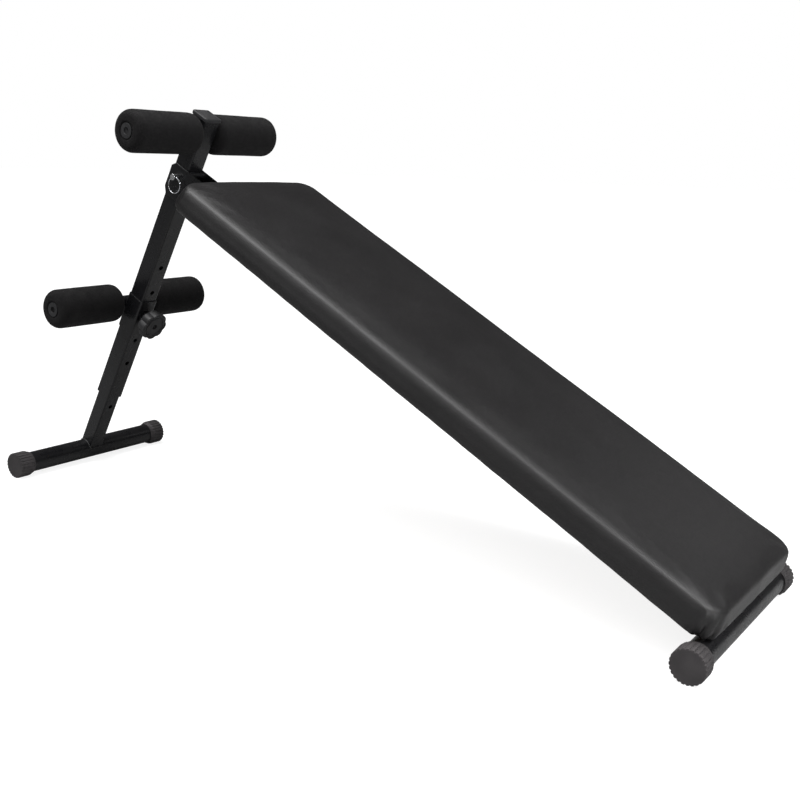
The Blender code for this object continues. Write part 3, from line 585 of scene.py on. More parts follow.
def sink(obj, direction, inset, depth):
    # insets the end face and pushes it in, or out where depth is negative
    edit(obj)
    pickFaces(obj, endOf(obj, direction))
    bpy.ops.mesh.inset(thickness=inset)
    push = Vector(direction) * -depth
    bpy.ops.mesh.extrude_region_move(TRANSFORM_OT_translate={"value": push})
    done()


def applyModifiers(obj):
    pickOnly(obj)
    for modifier in list(obj.modifiers):
        bpy.ops.object.modifier_apply(modifier=modifier.name)


def soften(obj, width, segments=3, angle=32):
    # rounds every edge sharper than the angle
    bevel = obj.modifiers.new("softEdges", "BEVEL")
    bevel.width = width
    bevel.segments = segments
    bevel.limit_method = "ANGLE"
    bevel.angle_limit = math.radians(angle)
    bevel.use_clamp_overlap = True
    applyModifiers(obj)


def combine(obj, other, operation, solver="EXACT"):
    boolean = obj.modifiers.new("combine", "BOOLEAN")
    boolean.operation = operation
    boolean.solver = solver
    boolean.object = other
    applyModifiers(obj)
    bpy.data.objects.remove(other)


def subtract(obj, cutter, solver="EXACT"):
    combine(obj, cutter, "DIFFERENCE", solver)


def evenMesh(obj, size):
    remesh = obj.modifiers.new("even", "REMESH")
    remesh.mode = "VOXEL"
    remesh.voxel_size = size
    applyModifiers(obj)


def refine(obj):
    finer = obj.modifiers.new("finer", "SUBSURF")
    finer.levels = finer.render_levels = 1
    applyModifiers(obj)


def joined(objects):
    deselectAll()
    for obj in objects:
        obj.select_set(True)
    bpy.context.view_layer.objects.active = objects[0]
    bpy.ops.object.join()
    return objects[0]


pieceCount = []


def finish(obj, name, body, slot, replaced=(), smooth=32, outwards=True):
    # puts a finished piece in its place in the room, with its finish, its body and the nodes it stands for
    applyModifiers(obj)
    if outwards:
        edit(obj)
        bpy.ops.mesh.select_all(action="SELECT")
        bpy.ops.mesh.normals_make_consistent(inside=False)
        done()
    bpy.ops.object.transform_apply(location=True, rotation=True, scale=True)
    obj.data.transform(benchPlace)
    pickOnly(obj)
    bpy.ops.object.shade_smooth_by_angle(angle=math.radians(smooth))
    if slot not in ("vinyl", "roller_foam"):
        flat = obj.modifiers.new("flatFaces", "WEIGHTED_NORMAL")
        flat.keep_sharp = True
        applyModifiers(obj)
    obj.name = name
    obj.data.name = name
    obj.data.materials.clear()
    obj.data.materials.append(finishes[slot])
    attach(obj, body)
    if replaced:
        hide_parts(*replaced)
    pieceCount.append(name)


# square tubes: rail, post, leg and carriage sleeve

squareTubeValues = {
    "wall": 0.0015,
    "corner": 0.0032,
    "legCorner": 0.0027,
    "sleeveWall": 0.0014,
    "sleeveCorner": 0.0045,
    "rimSoftness": 0.0003,
    "postSoftness": 0.00035,
    "sleeveSoftness": 0.0005,
    "railReach": 0.004,       # how near a foot tube's axis the tube runs before it is cut to fit
    "legReach": 0.005,
}

holeValues = {
    "pitch": 0.0538,
    "radius": 0.0045,
    "post": range(-2, 3),     # which holes there are, counted from the knob's
    "leg": range(-4, 2),
    "pinRadius": 0.0043,
    "rollerTubeRadius": 0.0112,
    "drill": {"X": 0.012, "Y": 0.06},     # through the front wall, or through both sides
}


def squareTube(low, high, along, wall, corner):
    # a box with its long edges rounded, opened from end to end
    index = "XYZ".index(along)
    tube = startCube((low + high) / 2, high - low)
    edit(tube, "EDGE")
    length = high[index] - low[index]
    pickEdges(tube, lambda a, b: abs(a[index] - b[index]) > length * 0.9)
    bpy.ops.mesh.bevel(offset=corner, segments=6, affect="EDGES")
    bpy.ops.mesh.select_mode(type="FACE")
    pickFaces(tube, lambda centre, normal: abs(normal[index]) > 0.99)
    bpy.ops.mesh.inset(thickness=wall)
    bpy.ops.mesh.bridge_edge_loops()
    done()
    return tube


def fitToFoot(tube, node):
    # cuts the end of a tube to sit round a foot tube
    foot = middle(node)
    subtract(tube, startCylinder(foot, benchBox(node)[1].x - foot.x, 0.08, "Y"))


def makeRail():
    low, high = benchBox("main_rail")
    high.x = middle("front_foot_tube").x - squareTubeValues["railReach"]
    rail = squareTube(low, high, "X", squareTubeValues["wall"], squareTubeValues["corner"])
    fitToFoot(rail, "front_foot_tube")
    soften(rail, squareTubeValues["rimSoftness"], 2)
    finish(rail, "mainRail", "bench_frame", "paint", ["main_rail"])


def drill(tube, place, radius, along):
    subtract(tube, startCylinder(place, radius, holeValues["drill"][along], along, 48))


def drillFront(tube, frontX, steps):
    # the row of holes that the knob's stud can go into
    knobHeight = middle("clamp_stud").z
    for step in steps:
        drill(tube, (frontX, 0, knobHeight + step * holeValues["pitch"]), holeValues["radius"], "X")


def makePost():
    low, high = benchBox("post_outer_tube")
    post = squareTube(low, high, "Z", squareTubeValues["wall"], squareTubeValues["corner"])
    drillFront(post, high.x, holeValues["post"])
    drill(post, (0, 0, middle("hinge_pin").z), holeValues["pinRadius"], "Y")
    drill(post, (0, 0, middle("upper_roller_tube").z), holeValues["rollerTubeRadius"], "Y")
    soften(post, squareTubeValues["postSoftness"], 2)
    finish(post, "postOuterTube", "leg_post", "paint", ["post_outer_tube"])


def makeLeg():
    low, high = benchBox("leg_inner_tube")
    low.z = middle("rear_foot_tube").z + squareTubeValues["legReach"]
    leg = squareTube(low, high, "Z", squareTubeValues["wall"], squareTubeValues["legCorner"])
    fitToFoot(leg, "rear_foot_tube")
    drillFront(leg, high.x, holeValues["leg"])
    soften(leg, squareTubeValues["rimSoftness"], 2)
    finish(leg, "legInnerTube", "leg_foot", "paint", ["leg_inner_tube"])


def makeSleeve():
    low, high = benchBox("carriage_sleeve")
    sleeve = squareTube(low, high, "Z", squareTubeValues["sleeveWall"], squareTubeValues["sleeveCorner"])
    soften(sleeve, squareTubeValues["sleeveSoftness"], 2)
    finish(sleeve, "carriageSleeve", "roller_carriage", "paint", ["carriage_sleeve"])


makeRail()
makePost()
makeLeg()
makeSleeve()
print("square tubes made")


# round tubes

roundTubeValues = {"wall": 0.0015, "rimSoftness": 0.0003}


def roundTube(node, name, body):
    low, high = benchBox(node)
    tube = startCylinder((low + high) / 2, (high.x - low.x) / 2, high.y - low.y, "Y", 96)
    edit(tube)
    pickFaces(tube, lambda centre, normal: abs(normal.y) > 0.99)
    bpy.ops.mesh.inset(thickness=roundTubeValues["wall"])
    bpy.ops.mesh.bridge_edge_loops()
    done()
    soften(tube, roundTubeValues["rimSoftness"], 2)
    finish(tube, name, body, "paint", [node])


roundTube("front_foot_tube", "frontFootTube", "bench_frame")
roundTube("rear_foot_tube", "rearFootTube", "leg_foot")
roundTube("upper_roller_tube", "upperRollerTube", "leg_post")
roundTube("lower_roller_tube", "lowerRollerTube", "roller_carriage")
print("round tubes made")


# foot caps

capValues = {
    "ribs": 24,
    "stepsPerRib": 8,
    "grooveDepth": 0.0013,
    "boreSlack": 0.0003,
    "boreDepth": 0.008,
    "lip": 0.0014,
    "lipRound": (0.0012, 0.0005),     # along the cap, and out
    "taper": 0.008,
    # share of the taper, how far inside the full radius, and share of the grooves' depth
    "shoulder": ((0.55, 0.0021, 0.25), (0.85, 0.0005, 0.75), (1.1, 0, 1)),
    "endRound": 0.0012,
    "rim": 0.0046,                    # between the ribs' tips and the shallow dish
    "dish": 0.0004,
    "dishRound": 0.0008,
}


def ribbedRadius(angle, radius, depth, ribs, shift):
    # wide flat tips with narrow rounded grooves between them
    wave = math.cos(ribs * (angle - shift))
    groove = min(1.0, max(0.0, (-wave - 0.15) / 0.75))
    return radius - depth * groove * groove * (3 - 2 * groove)


def ribbedSolid(steps, stations, shape):
    # a disc drawn out along Z, station by station; shape(angle, number) gives its radius at each
    deselectAll()
    bpy.ops.mesh.primitive_circle_add(vertices=steps, radius=1, fill_type="NGON")
    solid = bpy.context.object
    level = 0.0
    edit(solid)
    bpy.ops.mesh.select_all(action="SELECT")
    for number, station in enumerate(stations):
        if number:
            bpy.ops.mesh.extrude_region_move(TRANSFORM_OT_translate={"value": (0, 0, station - level)})
        bm = bmesh.from_edit_mesh(solid.data)
        for vert in bm.verts:
            if vert.select:
                angle = math.atan2(vert.co.y, vert.co.x)
                radius = shape(angle, number)
                vert.co = Vector((radius * math.cos(angle), radius * math.sin(angle), station))
        bmesh.update_edit_mesh(solid.data)
        level = station
    done()
    return solid


def makeFootCap(node, name, body, side):
    low, high = benchBox(node)
    axis = (low + high) / 2
    tube = benchBox(node.replace("_left", "").replace("_right", "").replace("cap", "tube"))
    bore = (tube[1].x - tube[0].x) / 2 + capValues["boreSlack"]
    radius = benchOrigin.z
    length = high.y - low.y
    lipLong, lipOut = capValues["lipRound"]
    rounding = capValues["endRound"]
    lip = bore + capValues["lip"]
    rim = radius - capValues["rim"]
    # how far along, how far out, and how much of the grooves' depth: up the bore's inside to the mouth,
    # over the lip, up to the ribs, along them, round the closed end's edge and into its shallow dish
    stations = (
        (capValues["boreDepth"], bore, 0), (0, bore, 0), (0, lip, 0), (lipLong, lip + lipOut, 0),
        *((capValues["taper"] * far, radius - inside, share) for far, inside, share in capValues["shoulder"]),
        (length - rounding, radius, 1), (length - rounding * 0.3, radius - rounding * 0.3, 1),
        (length, radius - rounding, 0.9), (length, rim, 0),
        (length - capValues["dish"], rim - capValues["dishRound"], 0),
    )

    def shape(angle, number):
        out, share = stations[number][1:]
        return ribbedRadius(angle, out, capValues["grooveDepth"] * share, capValues["ribs"], side * benchSlope)

    levels = [station[0] for station in stations]
    cap = ribbedSolid(capValues["ribs"] * capValues["stepsPerRib"], levels, shape)
    mouth = Matrix.Translation((axis.x, axis.y - side * length / 2, axis.z))
    cap.data.transform(mouth @ Matrix.Rotation(-side * math.pi / 2, 4, "X"))
    finish(cap, name, body, "cap_rubber", [node], smooth=28)


for level, body in (("front", "bench_frame"), ("rear", "leg_foot")):
    for sideName, side in sides:
        makeFootCap(f"{level}_foot_cap_{sideName}", f"{level}FootCap{sideName.title()}", body, side)
print("foot caps made")


# rollers

rollerValues = {
    "endRound": 0.013,
    "voxel": 0.0026,
    "slim": 0.0002,           # how much the foam starts inside its full radius
    "lumps": 0.00028,
    "seat": 0.0145,           # radius of the dent that the plug's head sits in
    "seatSlope": 0.003,
    "seatDepth": 0.0024,
    "plugHead": 0.0022,
    "plugStem": (0.0092, 0.012),      # radius and length
    "plugHole": (0.0055, 0.004),      # radius and depth
    "plugRound": 0.0005,
}


def makeRollerFoam(node, name, body, seed):
    # a foam sleeve: a rounded roll whose skin is a little uneven and whose ends are slightly dished
    low, high = benchBox(node)
    centre = (low + high) / 2
    foam = startCylinder(centre, (high.x - low.x) / 2 - rollerValues["slim"], high.y - low.y, "Y", 96)
    soften(foam, rollerValues["endRound"], 8)
    evenMesh(foam, rollerValues["voxel"])
    smooth = foam.modifiers.new("relax", "SMOOTH")
    smooth.factor = 0.5
    smooth.iterations = 4
    applyModifiers(foam)
    refine(foam)
    shift = Vector((seed * 3.1, seed * 1.7, 0))
    reach = (high.y - low.y) / 2
    outwards = [vert.normal.copy() for vert in foam.data.vertices]
    for vert, outward in zip(foam.data.vertices, outwards):
        slow = noise.noise(vert.co * 22 + shift)
        quick = noise.noise(vert.co * 150 + shift)
        pit = max(0.0, noise.noise(vert.co * 420 + shift))
        fromAxis = math.hypot(vert.co.x - centre.x, vert.co.z - centre.z)
        atEnd = max(0.0, abs(vert.co.y - centre.y) / reach - 0.97) / 0.03
        seated = max(0.0, min(1.0, (rollerValues["seat"] - fromAxis) / rollerValues["seatSlope"] + 0.5)) * atEnd
        uneven = rollerValues["lumps"] * (1.0 * slow + 0.45 * quick - 0.5 * pit)
        vert.co += outward * (uneven - rollerValues["seatDepth"] * seated)
    finish(foam, name, body, "roller_foam", [node], smooth=180)


def makeRollerPlug(node, name, body, side):
    # a round plug with an eased rim and a blind hole, its stem inside the tube
    low, high = benchBox(node)
    headRadius = (high.x - low.x) / 2
    outer = high.y if side > 0 else low.y
    head = rollerValues["plugHead"]
    stemRadius, stemLength = rollerValues["plugStem"]
    holeRadius, holeDepth = rollerValues["plugHole"]
    centre = ((low.x + high.x) / 2, outer - side * head / 2, (low.z + high.z) / 2)
    plug = startCylinder(centre, headRadius, head, "Y", 72)
    sink(plug, (0, side, 0), headRadius - holeRadius, holeDepth)
    sink(plug, (0, -side, 0), headRadius - stemRadius, -stemLength)
    soften(plug, rollerValues["plugRound"], 3)
    finish(plug, name, body, "plastic", [node])


for level, body in (("upper", "leg_post"), ("lower", "roller_carriage")):
    for number, (sideName, side) in enumerate(sides):
        roller = f"{level}_roller"
        title = f"{level}Roller"
        end = sideName.title()
        seed = number + len(level)
        makeRollerFoam(f"{roller}_foam_{sideName}", f"{title}Foam{end}", f"{roller}_{sideName}", seed)
        makeRollerPlug(f"{roller}_plug_{sideName}", f"{title}Plug{end}", body, side)
print("rollers made")


# plates, brackets and small square plugs, taken from their CAD shapes with eased edges

easeValues = {"plate": 0.0005, "rod": 0.0005, "plug": 0.0004, "board": 0.0006, "bracket": 0.0004}


def easedCopy(node, name, body, slot, width, segments=2):
    piece = addObject(name, nodes[node].data.copy())
    piece.data.transform(benchPlace.inverted())
    edit(piece)
    bpy.ops.mesh.select_all(action="SELECT")
    bpy.ops.mesh.remove_doubles(threshold=1e-5)
    bpy.ops.mesh.dissolve_limited(angle_limit=math.radians(1))
    done()
    soften(piece, width, segments)
    finish(piece, name, body, slot, [node], outwards=False)


for sideName, side in sides:
    plateTitle = f"hingePlate{sideName.title()}"
    easedCopy(f"hinge_plate_{sideName}", plateTitle, "bench_frame", "paint", easeValues["plate"], 3)
easedCopy("leg_stop_rod", "legStopRod", "bench_frame", "paint", easeValues["rod"])
easedCopy("rail_end_plug", "railEndPlug", "bench_frame", "plastic", easeValues["plug"])
easedCopy("leg_glide_plug", "legGlidePlug", "leg_foot", "plastic", easeValues["plug"])
easedCopy("pad_board", "padBoard", "bench_frame", "plywood", easeValues["board"])
for number in (1, 2, 3):
    easedCopy(f"pad_bracket_{number}", f"padBracket{number}", "bench_frame", "paint", easeValues["bracket"])
print("plates, brackets and plugs made")


topCapValues = {
    "gap": 0.0003,            # over the post's end
    "crown": 0.0014,
    "round": 0.0022,
    "cornerRound": 0.00352,
    "dome": ((0.82, 0.35), (0.75, 0.30), (0.65, 0.22), (0.5, 0.13)),     # each ring's size and rise
}


def makeTopCap():
    # the moulded cap on the post: a slightly domed top with rounded edges
    low, high = benchBox("post_top_cap")
    low.z = benchBox("post_outer_tube")[1].z + topCapValues["gap"]
    crownHeight = topCapValues["crown"]
    cap = startCube((low + high) / 2, high - low)
    edit(cap, "EDGE")
    pickEdges(cap, lambda a, b: abs(a.z - b.z) > 0.004)
    bpy.ops.mesh.bevel(offset=topCapValues["cornerRound"], segments=6, affect="EDGES")
    pickEdges(cap, lambda a, b: min(a.z, b.z) > high.z - 1e-5)
    bpy.ops.mesh.bevel(offset=topCapValues["round"], segments=5, affect="EDGES")
    bpy.ops.mesh.select_mode(type="FACE")
    pickFaces(cap, endOf(cap, (0, 0, 1)))
    # rings that rise towards the middle make the dome
    for share, rise in topCapValues["dome"]:
        bpy.ops.mesh.extrude_region_move(TRANSFORM_OT_translate={"value": (0, 0, crownHeight * rise)})
        bpy.ops.transform.resize(value=(share, share, 1))
    done()
    for vert in cap.data.vertices:
        if vert.co.z > high.z - crownHeight - topCapValues["round"]:
            vert.co.z -= crownHeight
    finish(cap, "postTopCap", "leg_post", "plastic", ["post_top_cap"])


makeTopCap()


# knob, stud and nut

knobValues = {
    "lobes": 8,
    "lobeDepth": 0.0030,
    "stepsPerLobe": 24,
    "edge": 0.0030,
    "faceRing": 0.0045,
    "faceDish": 0.0012,
    "dishEdge": 0.0010,
    "bore": 0.0052,
    "softness": 0.0004,
}


def lobeRadius(angle, radius, depth):
    wave = 0.5 + 0.5 * math.cos(knobValues["lobes"] * angle)
    return radius - depth * (1 - wave ** 0.55)


def makeKnob():
    low, high = benchBox("clamp_knob")
    radius = (high.y - low.y) / 2
    thick = high.x - low.x
    edge = knobValues["edge"]
    # how far along, how far out, and how much of the lobes' depth: a waisted back that swells
    # to the lobes, then a rounded front edge
    stations = (
        (0, 0.62, 0.0), (0.0015, 0.72, 0.2), (0.0045, 0.90, 0.7), (0.0085, 1.0, 1.0),
        (thick - edge, 1.0, 1.0), (thick - edge * 0.6, 0.985, 0.95),
        (thick - edge * 0.25, 0.945, 0.85), (thick, 0.88, 0.7),
    )

    def shape(angle, number):
        out, depth = stations[number][1:]
        return lobeRadius(angle, radius * out, knobValues["lobeDepth"] * depth)

    levels = [station[0] for station in stations]
    knob = ribbedSolid(knobValues["lobes"] * knobValues["stepsPerLobe"], levels, shape)
    sink(knob, (0, 0, 1), knobValues["faceRing"], 0.0)
    sink(knob, (0, 0, 1), knobValues["dishEdge"], knobValues["faceDish"])
    subtract(knob, startCylinder((0, 0, thick / 2), knobValues["bore"], thick + 0.01, "Z", 48))
    soften(knob, knobValues["softness"], 2, 40)
    centre = (low + high) / 2
    knob.data.transform(Matrix.Translation((low.x, centre.y, centre.z)) @ Matrix.Rotation(math.pi / 2, 4, "Y"))
    finish(knob, "clampKnob", "clamp_knob", "plastic", ["clamp_knob"], smooth=40)


threadValues = {
    "pitch": 0.0015,
    "depth": 0.0008,
    "levelsPerTurn": 4,
    "runOut": 3,              # levels over which the thread fades at each end
    "endDepth": 0.9,          # share of the depth that the ends are turned down by
    "steps": 32,
}


def makeStud():
    # an M10 stud: a rod whose thread runs round it as a helix
    low, high = benchBox("clamp_stud")
    length = high.x - low.x
    radius = (high.y - low.y) / 2
    centre = (low + high) / 2
    perTurn = threadValues["levelsPerTurn"]
    count = int(length / threadValues["pitch"]) * perTurn
    levels = [length * step / count for step in range(count + 1)]

    def shape(angle, number):
        # each level's crest moves round with the angle
        phase = number / perTurn + angle / (2 * math.pi)
        tooth = abs((phase % 1.0) - 0.5) * 2
        easing = min(1.0, number / threadValues["runOut"], (count - number) / threadValues["runOut"])
        return radius - threadValues["depth"] * (tooth * easing + (1 - easing) * threadValues["endDepth"])

    stud = ribbedSolid(threadValues["steps"], levels, shape)
    stud.data.transform(Matrix.Translation((low.x, centre.y, centre.z)) @ Matrix.Rotation(math.pi / 2, 4, "Y"))
    finish(stud, "clampStud", "clamp_knob", "zinc", ["clamp_stud"], smooth=60)


nutValues = {"bore": 0.0050, "cornerCut": 0.0011, "softness": 0.00025}


def makeNut():
    # a hexagon nut with its corners turned off both ends, welded to the sleeve
    low, high = benchBox("carriage_nut")
    centre = (low + high) / 2
    cornerRadius = max(high.y - low.y, high.z - low.z) / 2
    flatRadius = cornerRadius * math.cos(math.pi / 6)
    nut = startCylinder(centre, cornerRadius, high.x - low.x, "X", 6)
    # the turned-off corners come from a barrel that leaves only the flats whole
    barrel = startCylinder(centre, cornerRadius * 1.001, high.x - low.x, "X", 96)
    edit(barrel)
    for direction in (1, -1):
        pickFaces(barrel, endOf(barrel, (direction, 0, 0)))
        bpy.ops.mesh.inset(thickness=cornerRadius - flatRadius * 0.98)
        bpy.ops.mesh.select_all(action="DESELECT")
    bm = bmesh.from_edit_mesh(barrel.data)
    for vert in bm.verts:
        across = math.hypot(vert.co.y - centre.y, vert.co.z - centre.z)
        if across > flatRadius:
            vert.co.x -= math.copysign(nutValues["cornerCut"], vert.co.x - centre.x)
    bmesh.update_edit_mesh(barrel.data)
    done()
    combine(nut, barrel, "INTERSECT")
    subtract(nut, startCylinder(centre, nutValues["bore"], 0.02, "X", 48))
    soften(nut, nutValues["softness"], 2, 25)
    finish(nut, "carriageNut", "roller_carriage", "zinc", ["carriage_nut"], smooth=25)


makeKnob()
makeStud()
makeNut()
print("knob, stud and nut made")


# hinge pin and its ring

pinValues = {
    "faceGap": 0.0003,        # between the head and the plate
    "shank": 0.0038,
    "headRound": 0.0007,
    "ringHole": 0.0022,
    "holeRound": 0.0002,
}


def makePin():
    low, high = benchBox("hinge_pin")
    centre = (low + high) / 2
    headRadius = (high.x - low.x) / 2
    face = benchBox("hinge_plate_left")[0].y - pinValues["faceGap"]
    head = startCylinder((centre.x, (low.y + face) / 2, centre.z), headRadius, face - low.y, "Y", 64)
    sink(head, (0, 1, 0), headRadius - pinValues["shank"], -(high.y - face))
    soften(head, pinValues["headRound"], 3)
    # the ring's hole runs level through the head
    swing = next(joint for joint in frame["joints"] if joint["name"] == "ring_swing")
    place = benchPlace.inverted() @ Vector(swing["pos_m"])
    level = Matrix.Rotation(math.pi / 2 - benchSlope, 4, "Y")
    hole = startCylinder(place, pinValues["ringHole"], 0.03, "Z", 40)
    hole.data.transform(Matrix.Translation(place) @ level @ Matrix.Translation(-place))
    subtract(head, hole)
    soften(head, pinValues["holeRound"], 2)
    finish(head, "hingePin", "hinge_pin", "zinc", ["hinge_pin"])


ringValues = {"groove": 0.0003, "grooveWidth": 0.5}      # depth, and width as a share of the wire


def makeRing():
    # a split ring: two turns of wire side by side, hanging from the pin's head
    low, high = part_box("pull_ring")
    centre = benchPlace.inverted() @ ((low + high) / 2)
    wire = (high.y - low.y) / 2
    wireLine = (high.z - low.z) / 2 - wire
    deselectAll()
    bpy.ops.mesh.primitive_torus_add(
        major_segments=96, minor_segments=16, major_radius=wireLine, minor_radius=wire
    )
    ring = bpy.context.object
    # the two turns meet along a groove round the outside and the inside
    for vert in ring.data.vertices:
        flat = 1 - min(1.0, abs(vert.co.z) / (wire * ringValues["grooveWidth"]))
        ringRadius = math.hypot(vert.co.x, vert.co.y)
        inwards = (ringRadius - wireLine) / wire
        pull = -ringValues["groove"] * flat * inwards
        vert.co.x += vert.co.x / ringRadius * pull
        vert.co.y += vert.co.y / ringRadius * pull
    ring.data.transform(Matrix.Translation(centre) @ Matrix.Rotation(math.pi / 2, 4, "X"))
    finish(ring, "pullRing", "pull_ring", "zinc", ["pull_ring"], smooth=60)


makePin()
makeRing()
print("pin and ring made")


# pad screws

screwValues = {
    "headHeight": 0.0035,
    "crown": 0.0009,
    "shank": 0.0027,
    "recess": 0.0048,         # length of the cross's arms, tip to tip
    "recessWidth": 0.0009,
    "recessDepth": 0.0014,
}


def makeScrews():
    # pan heads with a cross recess, modelled once and copied to the six places
    low, high = benchBox("pad_screw_1_left")
    first = (low + high) / 2
    headHeight = screwValues["headHeight"]
    radius = (high.x - low.x) / 2
    head = startCylinder((first.x, first.y, low.z + headHeight / 2), radius, headHeight, "Z", 48)
    sink(head, (0, 0, 1), radius - screwValues["shank"], -(high.z - low.z - headHeight))
    soften(head, screwValues["crown"], 4)
    arm, width, depth = screwValues["recess"], screwValues["recessWidth"], screwValues["recessDepth"] * 2
    for size in ((width, arm, depth), (arm, width, depth)):
        subtract(head, startCube((first.x, first.y, low.z), size))
    for number in (1, 2, 3):
        for sideName, side in sides:
            node = f"pad_screw_{number}_{sideName}"
            screw = addObject(node, head.data.copy())
            screw.data.transform(Matrix.Translation(middle(node) - first))
            finish(screw, f"padScrew{number}{sideName.title()}", "bench_frame", "zinc", [node], smooth=35)
    bpy.data.objects.remove(head)


makeScrews()


# weld beads

weldValues = {
    "radius": 0.0019,
    "ripple": 0.10,
    "pitch": 0.0026,
    "unevenness": 0.10,
    "endShare": 0.55,         # of the bead's radius where it starts and stops
    "footLift": 0.0003,       # how far a bead's middle stands off a foot tube
    "rollerTube": {"back": 0.0012, "off": 0.0062, "half": 0.015},
    "nut": {"lift": 0.0002, "radius": 0.0092},
    "plate": {"start": 0.004, "end": 0.003, "out": 0.0002, "down": 0.0009},
    "bracket": {"start": 0.004, "end": 0.004, "out": -0.0001, "down": 0.0006},
}


def weldBead(name, body, points, closed=False):
    # a low rippled bead along a line of points
    curve = bpy.data.curves.new(name, "CURVE")
    curve.dimensions = "3D"
    curve.bevel_depth = weldValues["radius"]
    curve.bevel_resolution = 3
    curve.use_fill_caps = True
    spline = curve.splines.new("POLY")
    spline.points.add(len(points) - 1)
    spline.use_cyclic_u = closed
    travelled = 0.0
    previous = Vector(points[0])
    for number, (bead, place) in enumerate(zip(spline.points, points)):
        place = Vector(place)
        travelled += (place - previous).length
        previous = place
        bead.co = (*place, 1)
        ripple = math.sin(travelled / weldValues["pitch"] * 2 * math.pi)
        atEnd = weldValues["endShare"] if not closed and number in (0, len(points) - 1) else 1.0
        uneven = weldValues["unevenness"] * noise.noise(place * 300)
        bead.radius = (1 + weldValues["ripple"] * ripple + uneven) * atEnd
    pickOnly(addObject(name, curve))
    bpy.ops.object.convert(target="MESH")
    bead = bpy.context.object
    edit(bead)
    bpy.ops.mesh.select_all(action="SELECT")
    bpy.ops.mesh.remove_doubles(threshold=1e-5)
    done()
    finish(bead, name, body, "paint", smooth=60)


def line(start, end, step=0.0005):
    start, end = Vector(start), Vector(end)
    count = max(2, int((end - start).length / step))
    return [start.lerp(end, number / count) for number in range(count + 1)]


def squareOutline(half, corner, step=0.0005):
    # points round a square with rounded corners
    flat = half - corner
    points = []
    for quarter in range(4):
        turn = Matrix.Rotation(quarter * math.pi / 2, 2)
        for place in line((half, -flat, 0), (half, flat, 0), step)[:-1]:
            points.append(turn @ place.xy)
        for number in range(8):
            angle = number / 8 * math.pi / 2
            points.append(turn @ Vector((flat + corner * math.cos(angle), flat + corner * math.sin(angle))))
    return points


def roundFoot(tube, corner, footRadius):
    # the seam of a square tube that ends on a foot tube: along X and Y, and up from the foot's axis
    seam = []
    for point in squareOutline(tube, corner):
        seam.append((point.x, point.y, math.sqrt(footRadius ** 2 - point.x ** 2) + weldValues["footLift"]))
    return seam


def alongRail(title, low, high, height, side, values):
    # a straight bead on one side of the rail
    across = side * (benchBox("main_rail")[1].y + values["out"])
    height -= values["down"]
    start, end = (low.x + values["start"], across, height), (high.x - values["end"], across, height)
    weldBead(title, "bench_frame", line(start, end))


def makeWelds():
    rearFoot = middle("rear_foot_tube")
    frontFoot = middle("front_foot_tube")
    footRadius = benchBox("rear_foot_tube")[1].x - rearFoot.x
    seam = roundFoot(benchBox("leg_inner_tube")[1].x, squareTubeValues["legCorner"], footRadius)
    weldBead("legFootWeld", "leg_foot", seam, closed=True)
    seam = roundFoot(benchBox("main_rail")[1].y, squareTubeValues["corner"], footRadius)
    seam = [(frontFoot.x - back, across, frontFoot.z + up) for up, across, back in seam]
    weldBead("railFootWeld", "bench_frame", seam, closed=True)

    tubeWeld = weldValues["rollerTube"]
    back = benchBox("carriage_sleeve")[0].x - tubeWeld["back"]
    for title, off in (("Upper", tubeWeld["off"]), ("Lower", -tubeWeld["off"])):
        height = middle("lower_roller_tube").z + off
        bead = line((back, -tubeWeld["half"], height), (back, tubeWeld["half"], height))
        weldBead(f"rollerTubeWeld{title}", "roller_carriage", bead)

    nutWeld = weldValues["nut"]
    nutBack = benchBox("carriage_nut")[0].x + nutWeld["lift"]
    nutHeight = middle("carriage_nut").z
    radius = nutWeld["radius"]
    ring = []
    for number in range(72):
        angle = number / 72 * 2 * math.pi
        ring.append((nutBack, radius * math.cos(angle), nutHeight + radius * math.sin(angle)))
    weldBead("nutWeld", "roller_carriage", ring, closed=True)

    railLow = benchBox("main_rail")[0]
    plateHigh = benchBox("hinge_plate_left")[1]
    for sideName, side in sides:
        end = sideName.title()
        alongRail(f"hingePlateWeld{end}", railLow, plateHigh, plateHigh.z, side, weldValues["plate"])
        for number in (1, 2, 3):
            low, high = benchBox(f"pad_bracket_{number}")
            alongRail(f"bracketWeld{number}{end}", low, high, low.z, side, weldValues["bracket"])


makeWelds()
print("screws and welds made")


# pad: a vinyl cover drawn over foam and a board

padValues = {
    "voxel": 0.006,
    "quickVoxel": 0.0108,
    "corner": 0.032,          # plan radius of the corners
    "edgeRound": 0.010,
    "slack": 0.0010,          # how much smaller the foam starts than the filled pad
    "crown": 0.0075,          # how far the middle stands above the rim
    "crownEnds": 0.55,        # share of the crown that is left at the pad's ends
    "crownRun": 0.12,         # how far from the ends it is whole
    "bulge": 0.0028,          # how far the sides belly out past the board
    "tackedAbove": 0.010,     # how far above the board the cover is held tight
    "pressure": 3.0,
    "tension": 12,
    "bending": 2.0,
    "fillFrames": 20,
    "mostSwell": 0.0018,
    "pleats": 6,              # at each corner
    "pleatDepth": 0.0065,
    "pleatTop": 0.92,         # how far up the side they reach
    "fullness": 0.0015,       # how far the gathered corners stand out
    "pull": 0.0008,           # scallops between staples along the sides
    "staplePitch": 0.045,
    "wave": 0.0006,
    "looseness": 0.008,       # most that the cover may stand past the pad's plain outline
    "boardGap": 0.0004,
    "boardCorner": 0.030,
    "hem": 0.022,             # how far the cover is turned in under the board
    "hemCorner": 0.020,
}


